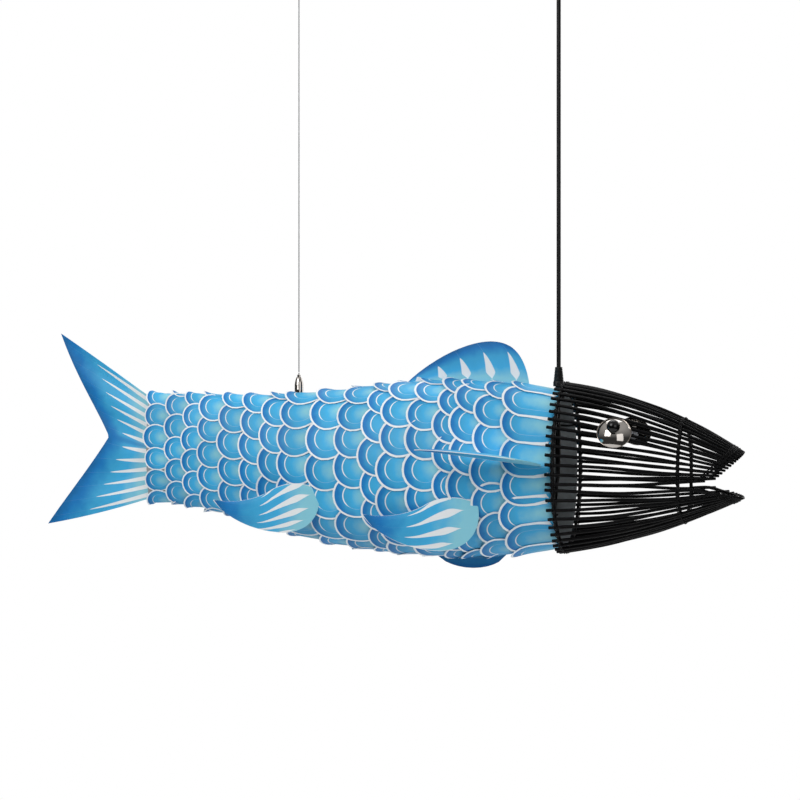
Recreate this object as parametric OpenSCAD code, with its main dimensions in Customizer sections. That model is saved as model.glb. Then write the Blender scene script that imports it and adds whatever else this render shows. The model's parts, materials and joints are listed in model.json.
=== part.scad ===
// Fish pendant lamp: a rattan-slat head, a shade of overlapping card scales, card fins,
// and two hangers that swing together under two ceiling fittings.
// Millimetres. +X runs towards the head, +Z is up. The origin is on the ceiling,
// in the middle of the canopy, straight above the power cord.

/* [Hanging] */
// Distance from the ceiling down to the two lower pivots, just above the fish's back
drop = 623; // [600:1:640]
// Distance between the power cord and the support cable
hanger_gap = 406; // [330:1:440]
// Height between the lower pivots and the highest part of the body
back_drop = 11; // [8:1:20]
// Diameter of the power cord
cord_d = 6.3; // [5:0.1:7.5]
// Diameter of the steel support cable
cable_d = 1.6; // [1:0.1:2]

/* [Ceiling canopy] */
// Radius of the canopy
canopy_r = 50; // [45:1:70]
// Height of the canopy
canopy_h = 27; // [25:1:30]
// Wall of the canopy
canopy_wall = 1.2; // [0.8:0.1:2]
// Distance between the two ceiling screw slots
bracket_pitch = 70; // [60:1:80]
// Width of a ceiling screw slot
bracket_slot_w = 4.5; // [4:0.1:6]
// Length of a ceiling screw slot
bracket_slot_l = 10; // [8:1:14]
// Height of the swivel's pivots below the canopy's underside
pivot_below = 4; // [3.5:0.5:5]
// Bore of the cord grip's swivel ring
ring_r = 8.2; // [8.2:0.1:9]

/* [Rear anchor] */
// Radius of the rear anchor
anchor_r = 15; // [14:1:20]
// Radius of the rear anchor's screw hole
anchor_hole_r = 2.25; // [2:0.25:3]

/* [Body] */
// Length of the card body
body_len = 663; // [560:1:760]
// Half of the body's greatest height
body_half_h = 132; // [115:1:160]
// Half of the body's greatest width
body_half_w = 95; // [85:1:115]
// Half height of the body at the head hoop
neck_half_h = 119.5; // [105:0.5:130]
// Half width of the body at the head hoop
neck_half_w = 90; // [80:0.5:100]
// Half height of the body at the tail's root
tail_half_h = 87; // [70:1:95]
// Half width of the body at the tail's root
tail_half_w = 20; // [14:1:30]
// How far the body's middle line rises towards the tail
tail_lift = 26.5; // [0:0.5:40]
// Thickness of the lining card
lining_t = 0.8; // [0.5:0.1:1.2]
// Thickness of the scale card
scale_t = 1; // [0.6:0.1:1.4]
// Length of body that one band of scales laps over the next
band_lap = 12; // [6:1:20]
// Diameter of the body's hoop and stringer wire
wire_d = 3; // [2.5:0.1:4]

/* [Head] */
// Distance from the power cord forward to the head hoop
hoop_x = 12; // [11:1:20]
// Length of the head from its hoop to the nose
head_len = 258; // [220:1:300]
// Distance from the head hoop to the corners of the mouth
mouth_x = 210; // [190:1:220]
// Half width between the corners of the mouth
mouth_half_w = 46.5; // [40:0.5:55]
// Distance from the head hoop to the mid hoop
mid_hoop_x = 173; // [150:1:180]
// Diameter of a rattan slat
slat_d = 4.4; // [3.8:0.1:4.6]
// Diameter of a slat at its tip
slat_tip_d = 3.6; // [3.2:0.1:3.6]
// Number of slats in the upper half of the head
upper_slats_n = 32; // [24:2:34]
// Number of slats in the lower half of the head
lower_slats_n = 22; // [18:2:22]
// Diameter of the head hoop's wire
hoop_d = 5; // [4:0.1:6]
// Radius of an eye dome
eye_r = 24; // [20:0.5:26]
// Height of an eye dome
eye_h = 13; // [10:0.5:16]
// Radius of a pupil ball
pupil_r = 9.5; // [8:0.5:11]

/* [Lamp] */
// Diameter of a bulb
bulb_d = 60; // [45:1:70]
// Length of a bulb's glass
bulb_len = 84; // [70:1:100]
// Outside radius of a lampholder
holder_r = 20; // [18:1:24]

/* [Fins] */
// Thickness of the fin card
fin_t = 1; // [0.8:0.1:1.5]
// Length of the tail fin beyond the body
tail_fin_len = 178; // [140:1:220]
// Height of the dorsal fin above the back
dorsal_h = 56; // [40:1:80]
// Depth of the ventral fin below the belly
ventral_h = 17; // [10:1:30]
// Length of a pectoral fin
pectoral_len = 182; // [150:1:200]
// Length of a pelvic fin
pelvic_len = 172; // [140:1:180]

/* [Hidden] */
$fn = 48;

// Clearances
fit = 0.05;           // radial clearance of a pin or a clamped part in its bore
gap = 0.3;            // between pieces that lie side by side
pivot_gap = 0.5;      // from a lower pivot to the end of each cord or cable

// Ceiling side
pivot_z = -(canopy_h + pivot_below);
ring_wall = 3.2;
ring_half = 3.2;
ring_pin_r = 1.5;
housing_in = ring_r + ring_wall + 2.1;
housing_out = housing_in + 3.5;
grip_r = 6.2;
small_ring_r = 4;
small_ring_wall = 2.4;
small_ring_half = 2.4;
small_pin_r = 0.9;
neck_in = small_ring_r + small_ring_wall + 1.2;
neck_out = neck_in + 2.4;
rear_x = -hanger_gap;

// Routes of the cord and the cable, from the lower pivot up to the ceiling fitting
CORD_ROUTE = [for (z = [-622.5, -610, -590, -560, -520, -480, -440, -400, -360, -320, -280,
                        -240, -200, -160, -120, -80, -50, -30, -23]) [0, 0, z]];
CABLE_ROUTE = [for (z = [-622.5, -610, -590, -560, -520, -480, -440, -400, -360, -320, -280,
                         -240, -200, -160, -120, -80, -50, -30, -27]) [-406, 0, z]];
// Route of the internal lead, from the gland down and back to the front lampholder
LEAD_ROUTE = [[0, 0, -623.5], [0, 0, -640], [0, 0, -660], [0, 0, -685], [1, -4, -705],
              [3, -10, -725], [5, -18, -745], [6, -26, -768], [4, -32, -790], [-2, -35, -810],
              [-14, -35, -826], [-32, -33, -836], [-55, -30, -838], [-82, -27, -835],
              [-108, -24, -829], [-134, -21, -822], [-160, -18, -815], [-186, -16, -808],
              [-210, -14, -802], [-232, -13, -798], [-250, -12, -790], [-258, -9, -778],
              [-256, -6, -767], [-247, -4, -761], [-237, -3, -760]];
// Route of the lead from the front lampholder back to the rear one
BACK_LEAD_ROUTE = [[-237, 3, -772], [-249, 3, -774], [-262, 2, -782], [-274, -1, -794],
                   [-290, -4, -803], [-312, -7, -807], [-338, -8, -808], [-366, -8, -807],
                   [-392, -8, -804], [-416, -7, -799], [-438, -6, -791], [-450, -4, -779],
                   [-449, -2, -767], [-440, 0, -762], [-429, 0, -762]];
lead_d = 5;

// Body surface: layers are insets from the outermost scale edge
card_front_x = hoop_x - 3.5;
tail_root_x = card_front_x - body_len;
axis_z = -(drop + back_drop + body_half_h);
swell_at = 0.25;
narrow_from = 0.3;
lift_from = 0.5;
band_in = 4;
band_out = 1;
lining_in = band_in + scale_t + 0.4;
hoop_in = lining_in + lining_t + 0.6;
stringer_in = hoop_in + wire_d + gap + wire_d/2;
bands = 6;
band_len = body_len/bands;
round_n = 48;
hoop_x_list = [for (i = [0:7]) i < 4 ? -22 - i*(hanger_gap - 22)/4 : rear_x - (i - 4)*76];

function ease(u) = 0.5 - 0.5*cos(180*min(1, max(0, u)));
function along(x) = (card_front_x - x)/body_len;
function half_h(x) = along(x) < swell_at
    ? body_half_h - (body_half_h - neck_half_h)*pow(1 - along(x)/swell_at, 2)
    : body_half_h - (body_half_h - tail_half_h)*ease((along(x) - swell_at)/(1 - swell_at));
function half_w(x) = along(x) < swell_at
    ? body_half_w - (body_half_w - neck_half_w)*pow(1 - along(x)/swell_at, 2)
    : body_half_w - (body_half_w - tail_half_w)*ease((along(x) - narrow_from)/(1 - narrow_from));
function mid_z(x) = axis_z + tail_lift*ease((along(x) - lift_from)/(1 - lift_from));
function top_z(x) = mid_z(x) + half_h(x);
function bottom_z(x) = mid_z(x) - half_h(x);
function oval(x, inset) = [for (i = [0:round_n - 1]) let (a = 360*i/round_n)
    [x, (half_w(x) - inset)*cos(a), mid_z(x) + (half_h(x) - inset)*sin(a)]];

// Head surface: each slat runs from the head hoop to the edge of a jaw
head_z = axis_z + 2.4;
slat_half_h = neck_half_h + slat_d/2 + 0.8;
slat_half_w = neck_half_w + slat_d/2 + 0.8;
nose_x = hoop_x + head_len;
corner_x = hoop_x + mouth_x;
upper_corner_z = head_z - 15.5;
upper_tip_z = head_z + 23.5;
lower_corner_z = head_z - 28;
lower_tip_z = head_z - 40;
upper_bulge = 16.5;
side_bulge = 9;
lower_bulge = 10;
stub = 11;
upper_spread = 100;
lower_spread = 76;

function hoop_angle(jaw, s) = jaw > 0 ? upper_spread*s : 180 - lower_spread*s;
function slat_start(jaw, s) = let (a = hoop_angle(jaw, s))
    [hoop_x, slat_half_w*sin(a), head_z + slat_half_h*cos(a)];
function slat_end(jaw, s) = jaw > 0
    ? [corner_x + (nose_x - corner_x)*cos(90*s), mouth_half_w*sin(90*s),
       upper_corner_z + (upper_tip_z - upper_corner_z)*cos(90*s)]
    : [corner_x + (nose_x - corner_x)*sqrt(1 - s*s), mouth_half_w*s,
       lower_corner_z + (lower_tip_z - lower_corner_z)*sqrt(1 - s*s)];
function bulge(jaw, s) = let (c = cos(hoop_angle(jaw, s)))
    jaw > 0 ? upper_bulge*c*c + side_bulge*(1 - c*c) : lower_bulge;
function cage(jaw, s, u, out) = let (a = hoop_angle(jaw, s), o = bulge(jaw, s)*4*u*(1 - u) + out)
    slat_start(jaw, s)*(1 - u) + slat_end(jaw, s)*u + [0, sin(a), cos(a)]*o;
function cage_u(jaw, s, x) = (x - hoop_x)/(slat_end(jaw, s)[0] - hoop_x);
function cage_at(jaw, s, x, out) = cage(jaw, s, cage_u(jaw, s, x), out);
// Slats beside the gland start at the hoop, and the others stand out behind it
function slat_stub(jaw, s) = let (y = abs(slat_start(jaw, s)[1]))
    jaw > 0 && y < gland_r + slat_d ? 1 : stub;
function slat_path(jaw, s) = let (u0 = -slat_stub(jaw, s)/(slat_end(jaw, s)[0] - hoop_x))
    [for (u = [u0, 0, 0.13, 0.28, 0.44, 0.6, 0.76, 0.9, 1]) cage(jaw, s, u, 0)];

// Gland and gripper
gland_r = 8;
gland_top_r = 5.3;
gland_z = -drop + 6.3;
shank_r = 5;
seat_z = top_z(0) + 0.2;
bracket_half_w = 9;
bracket_front_x = 8;
bracket_top_z = mid_z(bracket_front_x) - 0.3 + (half_h(bracket_front_x) - lining_in - lining_t)
    *sqrt(1 - pow(bracket_half_w/(half_w(bracket_front_x) - lining_in - lining_t), 2));
bracket_t = 2;
gripper_r = 6.5;
gripper_top_z = -drop - 7;
rear_hoop_z = top_z(rear_x) - hoop_in - wire_d;
pin_r = 1.5;
pin_z = rear_hoop_z - pin_r - 0.1;
gripper_foot_z = pin_z - 3.6;
plunger_r = 2.6;
plunger_travel = 2.5;

// Lamp
front_bar_x = hoop_x_list[2];
rear_bar_x = hoop_x_list[4];
bar_t = 2;
bar_h = 14;
holder_len = 46;
cap_r = 13;
cap_len = 24;
bulb_wall = 1;

// ---------------------------------------------------------------- shared shapes
function unit(v) = v/norm(v);
function ring_of(p, n1, n2, r, sides) =
    [for (k = [0:sides - 1]) p + r*(cos(360*k/sides)*n1 + sin(360*k/sides)*n2)];
function tangent(path, i, closed) = let (n = len(path))
    closed ? unit(path[(i + 1)%n] - path[(i + n - 1)%n])
           : unit(path[min(n - 1, i + 1)] - path[max(0, i - 1)]);

// A tube of the given sides swept along a path; radii may differ from ring to ring
module tube(path, radii, sides, up, closed = false) {
    n = len(path);
    points = [for (i = [0:n - 1])
        let (t = tangent(path, i, closed), n1 = unit(cross(up, t)), n2 = cross(t, n1))
        each ring_of(path[i], n1, n2, radii[i], sides)];
    skin = [for (i = [0:(closed ? n - 1 : n - 2)], k = [0:sides - 1])
        let (a = i*sides + k, b = i*sides + (k + 1)%sides,
             c = ((i + 1)%n)*sides + (k + 1)%sides, d = ((i + 1)%n)*sides + k)
        each [[a, c, b], [a, d, c]]];
    ends = closed ? [] : [[for (k = [0:sides - 1]) k],
                          [for (k = [sides - 1:-1:0]) (n - 1)*sides + k]];
    polyhedron(points, concat(skin, ends));
}

// A thin-walled sleeve between outer and inner rings of points
module sleeve(outer, inner) {
    rings = concat(outer, [for (i = [len(inner) - 1:-1:0]) inner[i]]);
    n = len(rings);
    m = len(rings[0]);
    points = [for (r = rings) each r];
    faces = [for (i = [0:n - 1], k = [0:m - 1])
        let (a = i*m + k, b = i*m + (k + 1)%m,
             c = ((i + 1)%n)*m + (k + 1)%m, d = ((i + 1)%n)*m + k)
        each [[a, b, c], [a, c, d]]];
    polyhedron(points, faces);
}

function same(r, n) = [for (i = [1:n]) r];
function bezier(a, b, c, d, n) = [for (i = [0:n - 1]) let (t = i/n, s = 1 - t)
    s*s*s*a + 3*s*s*t*b + 3*s*t*t*c + t*t*t*d];

// A turned ring with two pins along X and a cross bore along Y
module swivel_ring(r_in, r_out, half, pin, reach) {
    difference() {
        union() {
            cylinder(r = r_out, h = 2*half, center = true);
            for (side = [-1, 1])
                translate([side*(r_out + reach)/2, 0, 0]) rotate([0, 90, 0])
                    cylinder(r = pin, h = reach - r_out + 1, center = true);
        }
        cylinder(r = r_in, h = 2*half + 1, center = true);
        rotate([90, 0, 0]) cylinder(r = pin + fit, h = 2*r_out + 2, center = true);
    }
}

// ---------------------------------------------------------------- ceiling side
module ceiling_bracket() color("silver") {
    difference() {
        translate([-(bracket_pitch + 18)/2, -9, -2]) cube([bracket_pitch + 18, 18, 2]);
        for (side = [-1, 1]) translate([side*bracket_pitch/2, 0, -3])
            for (end = [-1, 1]) hull_free_slot(end);
        translate([0, 0, -3]) cylinder(r = 5, h = 4);
    }
    for (side = [-1, 1]) difference() {
        translate([side*(bracket_pitch/2 + 6.5) - 1, -6, -14]) cube([2, 12, 13]);
        translate([side*(bracket_pitch/2 + 6.5), 0, -9]) rotate([0, 90, 0])
            cylinder(r = 1.7, h = 4, center = true);
    }
}
module hull_free_slot(end) {
    reach = (bracket_slot_l - bracket_slot_w)/2;
    translate([end*reach, 0, 0]) cylinder(r = bracket_slot_w/2, h = 4);
    translate([-reach, -bracket_slot_w/2, 0]) cube([2*reach, bracket_slot_w, 4]);
}
module canopy() color("#1b1b1c") difference() {
    rotate_extrude($fn = 96) polygon([
        [housing_out + fit, -canopy_h], [canopy_r - 3, -canopy_h], [canopy_r, -canopy_h + 3],
        [canopy_r, 0], [canopy_r - canopy_wall, 0], [canopy_r - canopy_wall, -canopy_h + 3.4],
        [canopy_r - 3.4, -canopy_h + canopy_wall], [housing_out + fit, -canopy_h + canopy_wall]]);
    rotate([0, 90, 0]) translate([9, 0, 0]) cylinder(r = 1.9, h = 2*canopy_r + 2, center = true);
}
module canopy_screws() color("#2a2a2b") for (side = [-1, 1])
    translate([0, 0, -9]) rotate([0, side*90, 0]) {
        translate([0, 0, bracket_pitch/2 + 4]) cylinder(r = 1.65, h = canopy_r - bracket_pitch/2 - 3.9);
        translate([0, 0, canopy_r + 0.1]) difference() {
            cylinder(r = 3.5, h = 2);
            translate([0, 0, 2]) cube([8, 0.9, 1.6], center = true);
        }
    }
module terminal_block() color("#e9e6dc") difference() {
    translate([-15, 2, -14.1]) cube([30, 14, 12]);
    for (i = [-1:1]) translate([9*i, 1, -8]) rotate([-90, 0, 0]) cylinder(r = 2.2, h = 16);
}
module supply_leads() color("#8a5a2b") for (i = [-1:1])
    tube([[9*i, 12, -8], [9*i, 1.5, -8], [8*i, -2.5, -9.5], [6*i, -3.5, -12.5], [4*i, -2.5, -16],
          [2.2*i, 0, -19]], same(1, 6), 8, [1, 0, 0.01]);
module swivel_housing() color("#1b1b1c") difference() {
    union() {
        translate([0, 0, -canopy_h + canopy_wall + 0.1]) cylinder(r = housing_out + 4, h = 2.4);
        translate([0, 0, pivot_z - 6]) cylinder(r = housing_out, h = pivot_below + 12);
    }
    translate([0, 0, pivot_z - 7]) cylinder(r = housing_in, h = 40);
    translate([0, 0, pivot_z]) rotate([0, 90, 0])
        cylinder(r = ring_pin_r + fit, h = 2*housing_out + 2, center = true);
}
module front_swivel_ring() color("#b8b8ba") translate([0, 0, pivot_z])
    swivel_ring(ring_r, ring_r + ring_wall, ring_half, ring_pin_r, housing_out - 0.6);
module cord_grip() color("#1b1b1c") translate([0, 0, pivot_z]) difference() {
    union() {
        translate([0, 0, -17]) cylinder(r = grip_r, h = 22);
        translate([0, 0, -26]) cylinder(r1 = cord_d/2 + 1.4, r2 = grip_r, h = 9);
        rotate([90, 0, 0]) cylinder(r = ring_pin_r, h = 2*(ring_r + ring_wall - 0.3), center = true);
    }
    translate([0, 0, -27]) cylinder(r = cord_d/2 + fit, h = 40);
}
module power_cord() color("#151515")
    tube(CORD_ROUTE, same(cord_d/2, len(CORD_ROUTE)), 12, [0, 1, 0]);
module anchor_base() color("silver") translate([rear_x, 0, 0]) difference() {
    translate([0, 0, -7]) cylinder(r = anchor_r - 2.5, h = 7);
    translate([0, 0, -8]) cylinder(r = anchor_hole_r, h = 9);
    translate([0, 0, -7.01]) cylinder(r1 = anchor_hole_r + 2.5, r2 = anchor_hole_r, h = 2.5);
}
module anchor_cap() color("#c9c9cc") translate([rear_x, 0, 0]) difference() {
    rotate_extrude($fn = 72) polygon([
        [neck_in, pivot_z - 5], [neck_out, pivot_z - 5], [neck_out, -21], [anchor_r, -18],
        [anchor_r, 0], [anchor_r - 2.4, 0], [anchor_r - 2.4, -17], [neck_in, -20]]);
    translate([0, 0, pivot_z]) rotate([0, 90, 0])
        cylinder(r = small_pin_r + fit, h = 2*neck_out + 2, center = true);
}
module rear_swivel_ring() color("#b8b8ba") translate([rear_x, 0, pivot_z])
    swivel_ring(small_ring_r, small_ring_r + small_ring_wall, small_ring_half, small_pin_r,
                neck_out - 0.4);
module cable_stop() color("#c9c9cc") translate([rear_x, 0, pivot_z]) difference() {
    union() {
        translate([0, 0, -5]) cylinder(r = 2.8, h = 9);
        rotate([90, 0, 0])
            cylinder(r = small_pin_r, h = 2*(small_ring_r + small_ring_wall - 0.3), center = true);
    }
    translate([0, 0, -6]) cylinder(r = cable_d/2 + fit, h = 12);
}
module steel_cable() color("#9a9b9e")
    tube(CABLE_ROUTE, same(cable_d/2, len(CABLE_ROUTE)), 8, [0, 1, 0]);

// ---------------------------------------------------------------- hangers on the fish
module cord_gland() color("#1b1b1c") difference() {
    union() {
        translate([0, 0, seat_z]) cylinder(r = gland_r, h = 7);
        translate([0, 0, seat_z + 7])
            cylinder(r1 = gland_r - 0.6, r2 = gland_top_r, h = gland_z - seat_z - 7);
        translate([0, 0, bracket_top_z - bracket_t - 9])
            cylinder(r = shank_r, h = seat_z - bracket_top_z + bracket_t + 10);
    }
    translate([0, 0, bracket_top_z - bracket_t - 10])
        cylinder(r = cord_d/2 + fit, h = gland_z - bracket_top_z + 40);
    translate([0, 0, -drop - 3]) cylinder(r1 = cord_d/2 + fit, r2 = gland_top_r - 0.6, h = 9.4);
}
module gland_nut() color("#1b1b1c") translate([0, 0, bracket_top_z - bracket_t - 7]) difference() {
    cylinder(r = 8.4, h = 6.8, $fn = 6);
    translate([0, 0, -1]) cylinder(r = shank_r + fit, h = 9);
}
module gland_bracket() color("#2a2a2b") difference() {
    union() {
        translate([hoop_x_list[0] - 4, -bracket_half_w, bracket_top_z - bracket_t])
            cube([bracket_front_x - hoop_x_list[0] + 4, 2*bracket_half_w, bracket_t]);
        translate([hoop_x_list[0] + wire_d/2 + 0.1, -bracket_half_w, bracket_top_z - bracket_t])
            cube([2, 2*bracket_half_w, 2*bracket_t + 1]);
    }
    translate([0, 0, bracket_top_z - bracket_t - 1]) cylinder(r = shank_r + fit, h = 4);
}
module cable_gripper() color("#d5d6d9") translate([rear_x, 0, 0]) difference() {
    rotate_extrude() polygon([
        [0, gripper_foot_z], [gripper_r, gripper_foot_z], [gripper_r, gripper_top_z - 12],
        [gripper_r - 0.6, gripper_top_z - 7], [gripper_r - 1.8, gripper_top_z - 2.5],
        [gripper_r - 3, gripper_top_z], [0, gripper_top_z]]);
    translate([-(wire_d/2 + 0.5), -10, gripper_foot_z - 1])
        cube([wire_d + 1, 20, pin_z + 2*pin_r + wire_d + 5 - gripper_foot_z]);
    translate([0, 0, pin_z]) rotate([0, 90, 0])
        cylinder(r = pin_r + fit, h = 20, center = true);
    translate([0, 0, gripper_top_z - 11]) cylinder(r = plunger_r + fit, h = 20);
    translate([-1.8, -10, gripper_top_z - 19]) cube([3.6, 20, 6.4]);
    translate([0, 0, gripper_top_z - 20]) cylinder(r = cable_d/2 + fit, h = 30);
}
module gripper_plunger() color("#c2c3c6") translate([rear_x, 0, 0]) difference() {
    union() {
        translate([0, 0, gripper_top_z - 8]) cylinder(r = plunger_r, h = 11);
        translate([0, 0, gripper_top_z + 2.9]) cylinder(r1 = plunger_r, r2 = plunger_r - 0.6, h = 0.8);
    }
    translate([0, 0, gripper_top_z - 10]) cylinder(r = cable_d/2 + 0.1, h = 20);
}
module gripper_pin() color("#c2c3c6") translate([rear_x, 0, pin_z]) rotate([0, 90, 0])
    cylinder(r = pin_r, h = 2*gripper_r - 0.6, center = true);
module cable_tail() color("#9a9b9e") translate([rear_x, 0, 0])
    translate([0, 0, gripper_top_z - 17]) cylinder(r = cable_d/2, h = -drop - pivot_gap - gripper_top_z + 17);

// ---------------------------------------------------------------- head
module wire_ring(path, d) tube(path, same(d/2, len(path)), 8, [1, 0, 0], true);
module head_hoop() color("#141414") wire_ring([for (i = [0:47]) let (a = 360*i/48)
    [hoop_x, (slat_half_w - slat_d/2 - hoop_d/2 - 0.1)*sin(a),
     head_z + (slat_half_h - slat_d/2 - hoop_d/2 - 0.1)*cos(a)]], hoop_d);
function mid_loop(out) = let (x = hoop_x + mid_hoop_x, n = 20)
    concat([for (i = [-n:n]) cage_at(1, i/n, x, out)],
           [for (i = [n - 2:-1:2 - n]) cage_at(-1, i/(n - 2), x, out)]);
module mid_hoop() color("#141414") wire_ring(mid_loop(-slat_d/2 - hoop_d/2 - 0.4), hoop_d);
module jaw_wire(jaw) {
    inset = -slat_d/2 - wire_d/2 - 0.6;
    back = hoop_x + mid_hoop_x + hoop_d/2 + wire_d/2 + 0.4;
    arc = [for (i = [-12:12]) let (s = i/12, e = slat_end(jaw, s)[0])
        cage_at(jaw, s, e - 9, inset)];
    path = concat([cage_at(jaw, -1, back, inset)], arc, [cage_at(jaw, 1, back, inset)]);
    tube(path, same(wire_d/2, len(path)), 8, [0, 0, 1]);
}
module upper_jaw_wire() color("#141414") jaw_wire(1);
module lower_jaw_wire() color("#141414") jaw_wire(-1);
module slats(jaw, count) {
    radii = [for (d = [slat_d, slat_d, slat_d, slat_d, slat_d, slat_d, slat_d, slat_tip_d + 0.2,
                       slat_tip_d]) d/2];
    for (i = [0:count - 1]) let (s = 2*i/(count - 1) - 1)
        tube(slat_path(jaw, s), radii, 6, [0, sin(hoop_angle(jaw, s)), cos(hoop_angle(jaw, s))]);
}
module upper_slats() color("#161616") slats(1, upper_slats_n);
module lower_slats() color("#161616") slats(-1, lower_slats_n);
module lashing_cord() color("#101010") {
    d = 1.6;
    out = slat_d/2 + d/2 + 0.2;
    wire_ring([for (i = [0:47]) let (a = 360*i/48)
        [hoop_x, (slat_half_w + out)*sin(a), head_z + (slat_half_h + out)*cos(a)]], d);
    wire_ring(mid_loop(out + 0.5), d);
}

eye_x = hoop_x + 86;
eye_turn = 58;
eye_tilt = 30;
eye_yaw = 9;
eye_lift = 1.7;
eye_s = eye_turn/upper_spread;
module at_eye(side) {
    p = cage_at(1, eye_s, eye_x, slat_d/2 + eye_lift);
    translate([p[0], side*p[1], p[2]]) rotate([0, 0, -side*eye_yaw]) rotate([side*(eye_tilt - 90), 0, 0])
        children();
}
module eye_dome(side) color("#d5d6d9") at_eye(side) {
    ball = (eye_r*eye_r + eye_h*eye_h)/(2*eye_h);
    difference() {
        intersection() {
            translate([0, 0, eye_h - ball]) sphere(r = ball, $fn = 96);
            cylinder(r = eye_r + 1, h = eye_h + 1);
        }
        difference() {
            translate([0, 0, eye_h - ball]) sphere(r = ball - 1.2, $fn = 96);
            translate([0, 0, -2*ball + 1.2]) cylinder(r = 2*ball, h = 2*ball);
        }
        translate([0, 0, -1]) cylinder(r = 2 + fit, h = eye_h + 2);
    }
}
module left_eye_dome() eye_dome(1);
module right_eye_dome() eye_dome(-1);
module pupil(side) color("#0b0b0c") at_eye(side) difference() {
    translate([0, 0, eye_h + pupil_r*0.62]) sphere(r = pupil_r);
    translate([0, 0, eye_h - 8]) cylinder(r = pupil_r, h = 8.3);
    translate([0, 0, eye_h - 9]) cylinder(r = 2 + fit, h = 14);
}
module left_pupil() pupil(1);
module right_pupil() pupil(-1);
module eye_studs() color("#8e8f92") for (side = [-1, 1]) at_eye(side) {
    translate([0, 0, -12]) cylinder(r = 0.9, h = 12.5);
    translate([0, 0, 0.5]) cylinder(r = 2, h = eye_h + 3.6);
    translate([0, 0, -9.5]) cylinder(r = 8, h = 1.2);
}

// ---------------------------------------------------------------- body frame and card
module hoop_at(x) translate([x - wire_d/2, 0, 0]) rotate([90, 0, 90]) linear_extrude(wire_d)
    difference() {
        polygon([for (p = oval(x, hoop_in)) [p[1], p[2]]]);
        polygon([for (p = oval(x, hoop_in + wire_d)) [p[1], p[2]]]);
    }
module body_hoops() color("#1d1d1f") for (x = hoop_x_list) hoop_at(x);
// Each stringer runs inside the hoops, and its front end bends out to hold the head hoop
module stringers() color("#1d1d1f") for (a = [35, 145, 215, 325]) {
    hook = slat_d/2 + hoop_d + wire_d/2 + 0.2;
    front = [for (x = [hoop_x + 4, hoop_x])
        [x, (slat_half_w - hook)*cos(a), head_z + (slat_half_h - hook)*sin(a)]];
    bent_in = lining_in + lining_t + wire_d/2 + gap;
    insets = concat([bent_in], same(stringer_in, 13));
    path = concat(front, [for (i = [-1:12])
        let (x = i < 0 ? card_front_x + gap : (tail_root_x + 8)*i/12, inset = insets[i + 1])
        [x, (half_w(x) - inset)*cos(a), mid_z(x) + (half_h(x) - inset)*sin(a)]]);
    tube(path, same(wire_d/2, len(path)), 8, [0, 0.2, 1]);
}
module body_sleeve(x0, x1, out0, out1, t, n) sleeve(
    [for (i = [0:n]) let (u = i/n, x = x0 + (x1 - x0)*u) oval(x, out0 + (out1 - out0)*u)],
    [for (i = [0:n]) let (u = i/n, x = x0 + (x1 - x0)*u) oval(x, out0 + (out1 - out0)*u + t)]);
module hanger_holes() {
    translate([0, 0, seat_z - 20]) cylinder(r = shank_r + gap, h = 40);
    translate([rear_x, 0, top_z(rear_x) - 20]) cylinder(r = gripper_r + gap, h = 40);
}
module lining(from, to) color("#dfe6ea") difference() {
    body_sleeve(card_front_x - body_len*from, card_front_x - body_len*to, lining_in, lining_in,
                lining_t, 8);
    hanger_holes();
}
module front_lining() lining(0, 0.5);
module rear_lining() lining(0.5005, 1);
module scale_band(i) color("#3c9edb") difference() {
    x0 = card_front_x - (i - 1)*band_len;
    body_sleeve(x0, x0 - band_len - (i < bands ? band_lap : 0), band_in, band_out, scale_t, 4);
    hanger_holes();
}
module scale_band_1() scale_band(1);
module scale_band_2() scale_band(2);
module scale_band_3() scale_band(3);
module scale_band_4() scale_band(4);
module scale_band_5() scale_band(5);
module scale_band_6() scale_band(6);

// ---------------------------------------------------------------- fins
module upright_card() rotate([90, 0, 0]) translate([0, 0, -fin_t/2]) linear_extrude(fin_t) children();
dorsal_front = -44;
dorsal_back = -233;
module dorsal_fin() color("#4aa8de") upright_card() {
    z = top_z((dorsal_front + dorsal_back)/2);
    base = [for (i = [0:8]) let (x = dorsal_back + (dorsal_front - dorsal_back)*i/8)
        [x, top_z(x) - band_out + gap]];
    edge = concat(
        bezier([dorsal_front, top_z(dorsal_front) + gap], [dorsal_front - 6, z + dorsal_h*0.55],
               [dorsal_front - 22, z + dorsal_h], [dorsal_front - 60, z + dorsal_h], 8),
        bezier([dorsal_front - 60, z + dorsal_h], [dorsal_front - 100, z + dorsal_h],
               [dorsal_back + 28, z + dorsal_h*0.42], [dorsal_back, top_z(dorsal_back) - 0.4], 8));
    polygon(concat(base, edge));
}
ventral_front = -78;
ventral_back = -188;
module ventral_fin() color("#1f73bd") upright_card() {
    z = bottom_z((ventral_front + ventral_back)/2) - ventral_h;
    base = [for (i = [0:6]) let (x = ventral_back + (ventral_front - ventral_back)*i/6)
        [x, bottom_z(x) + band_out - gap]];
    polygon(concat(base, bezier([ventral_front, bottom_z(ventral_front) - 0.4],
        [ventral_front - 18, z - 6], [ventral_back + 26, z - 6],
        [ventral_back, bottom_z(ventral_back) - 0.4], 12)));
}
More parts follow.
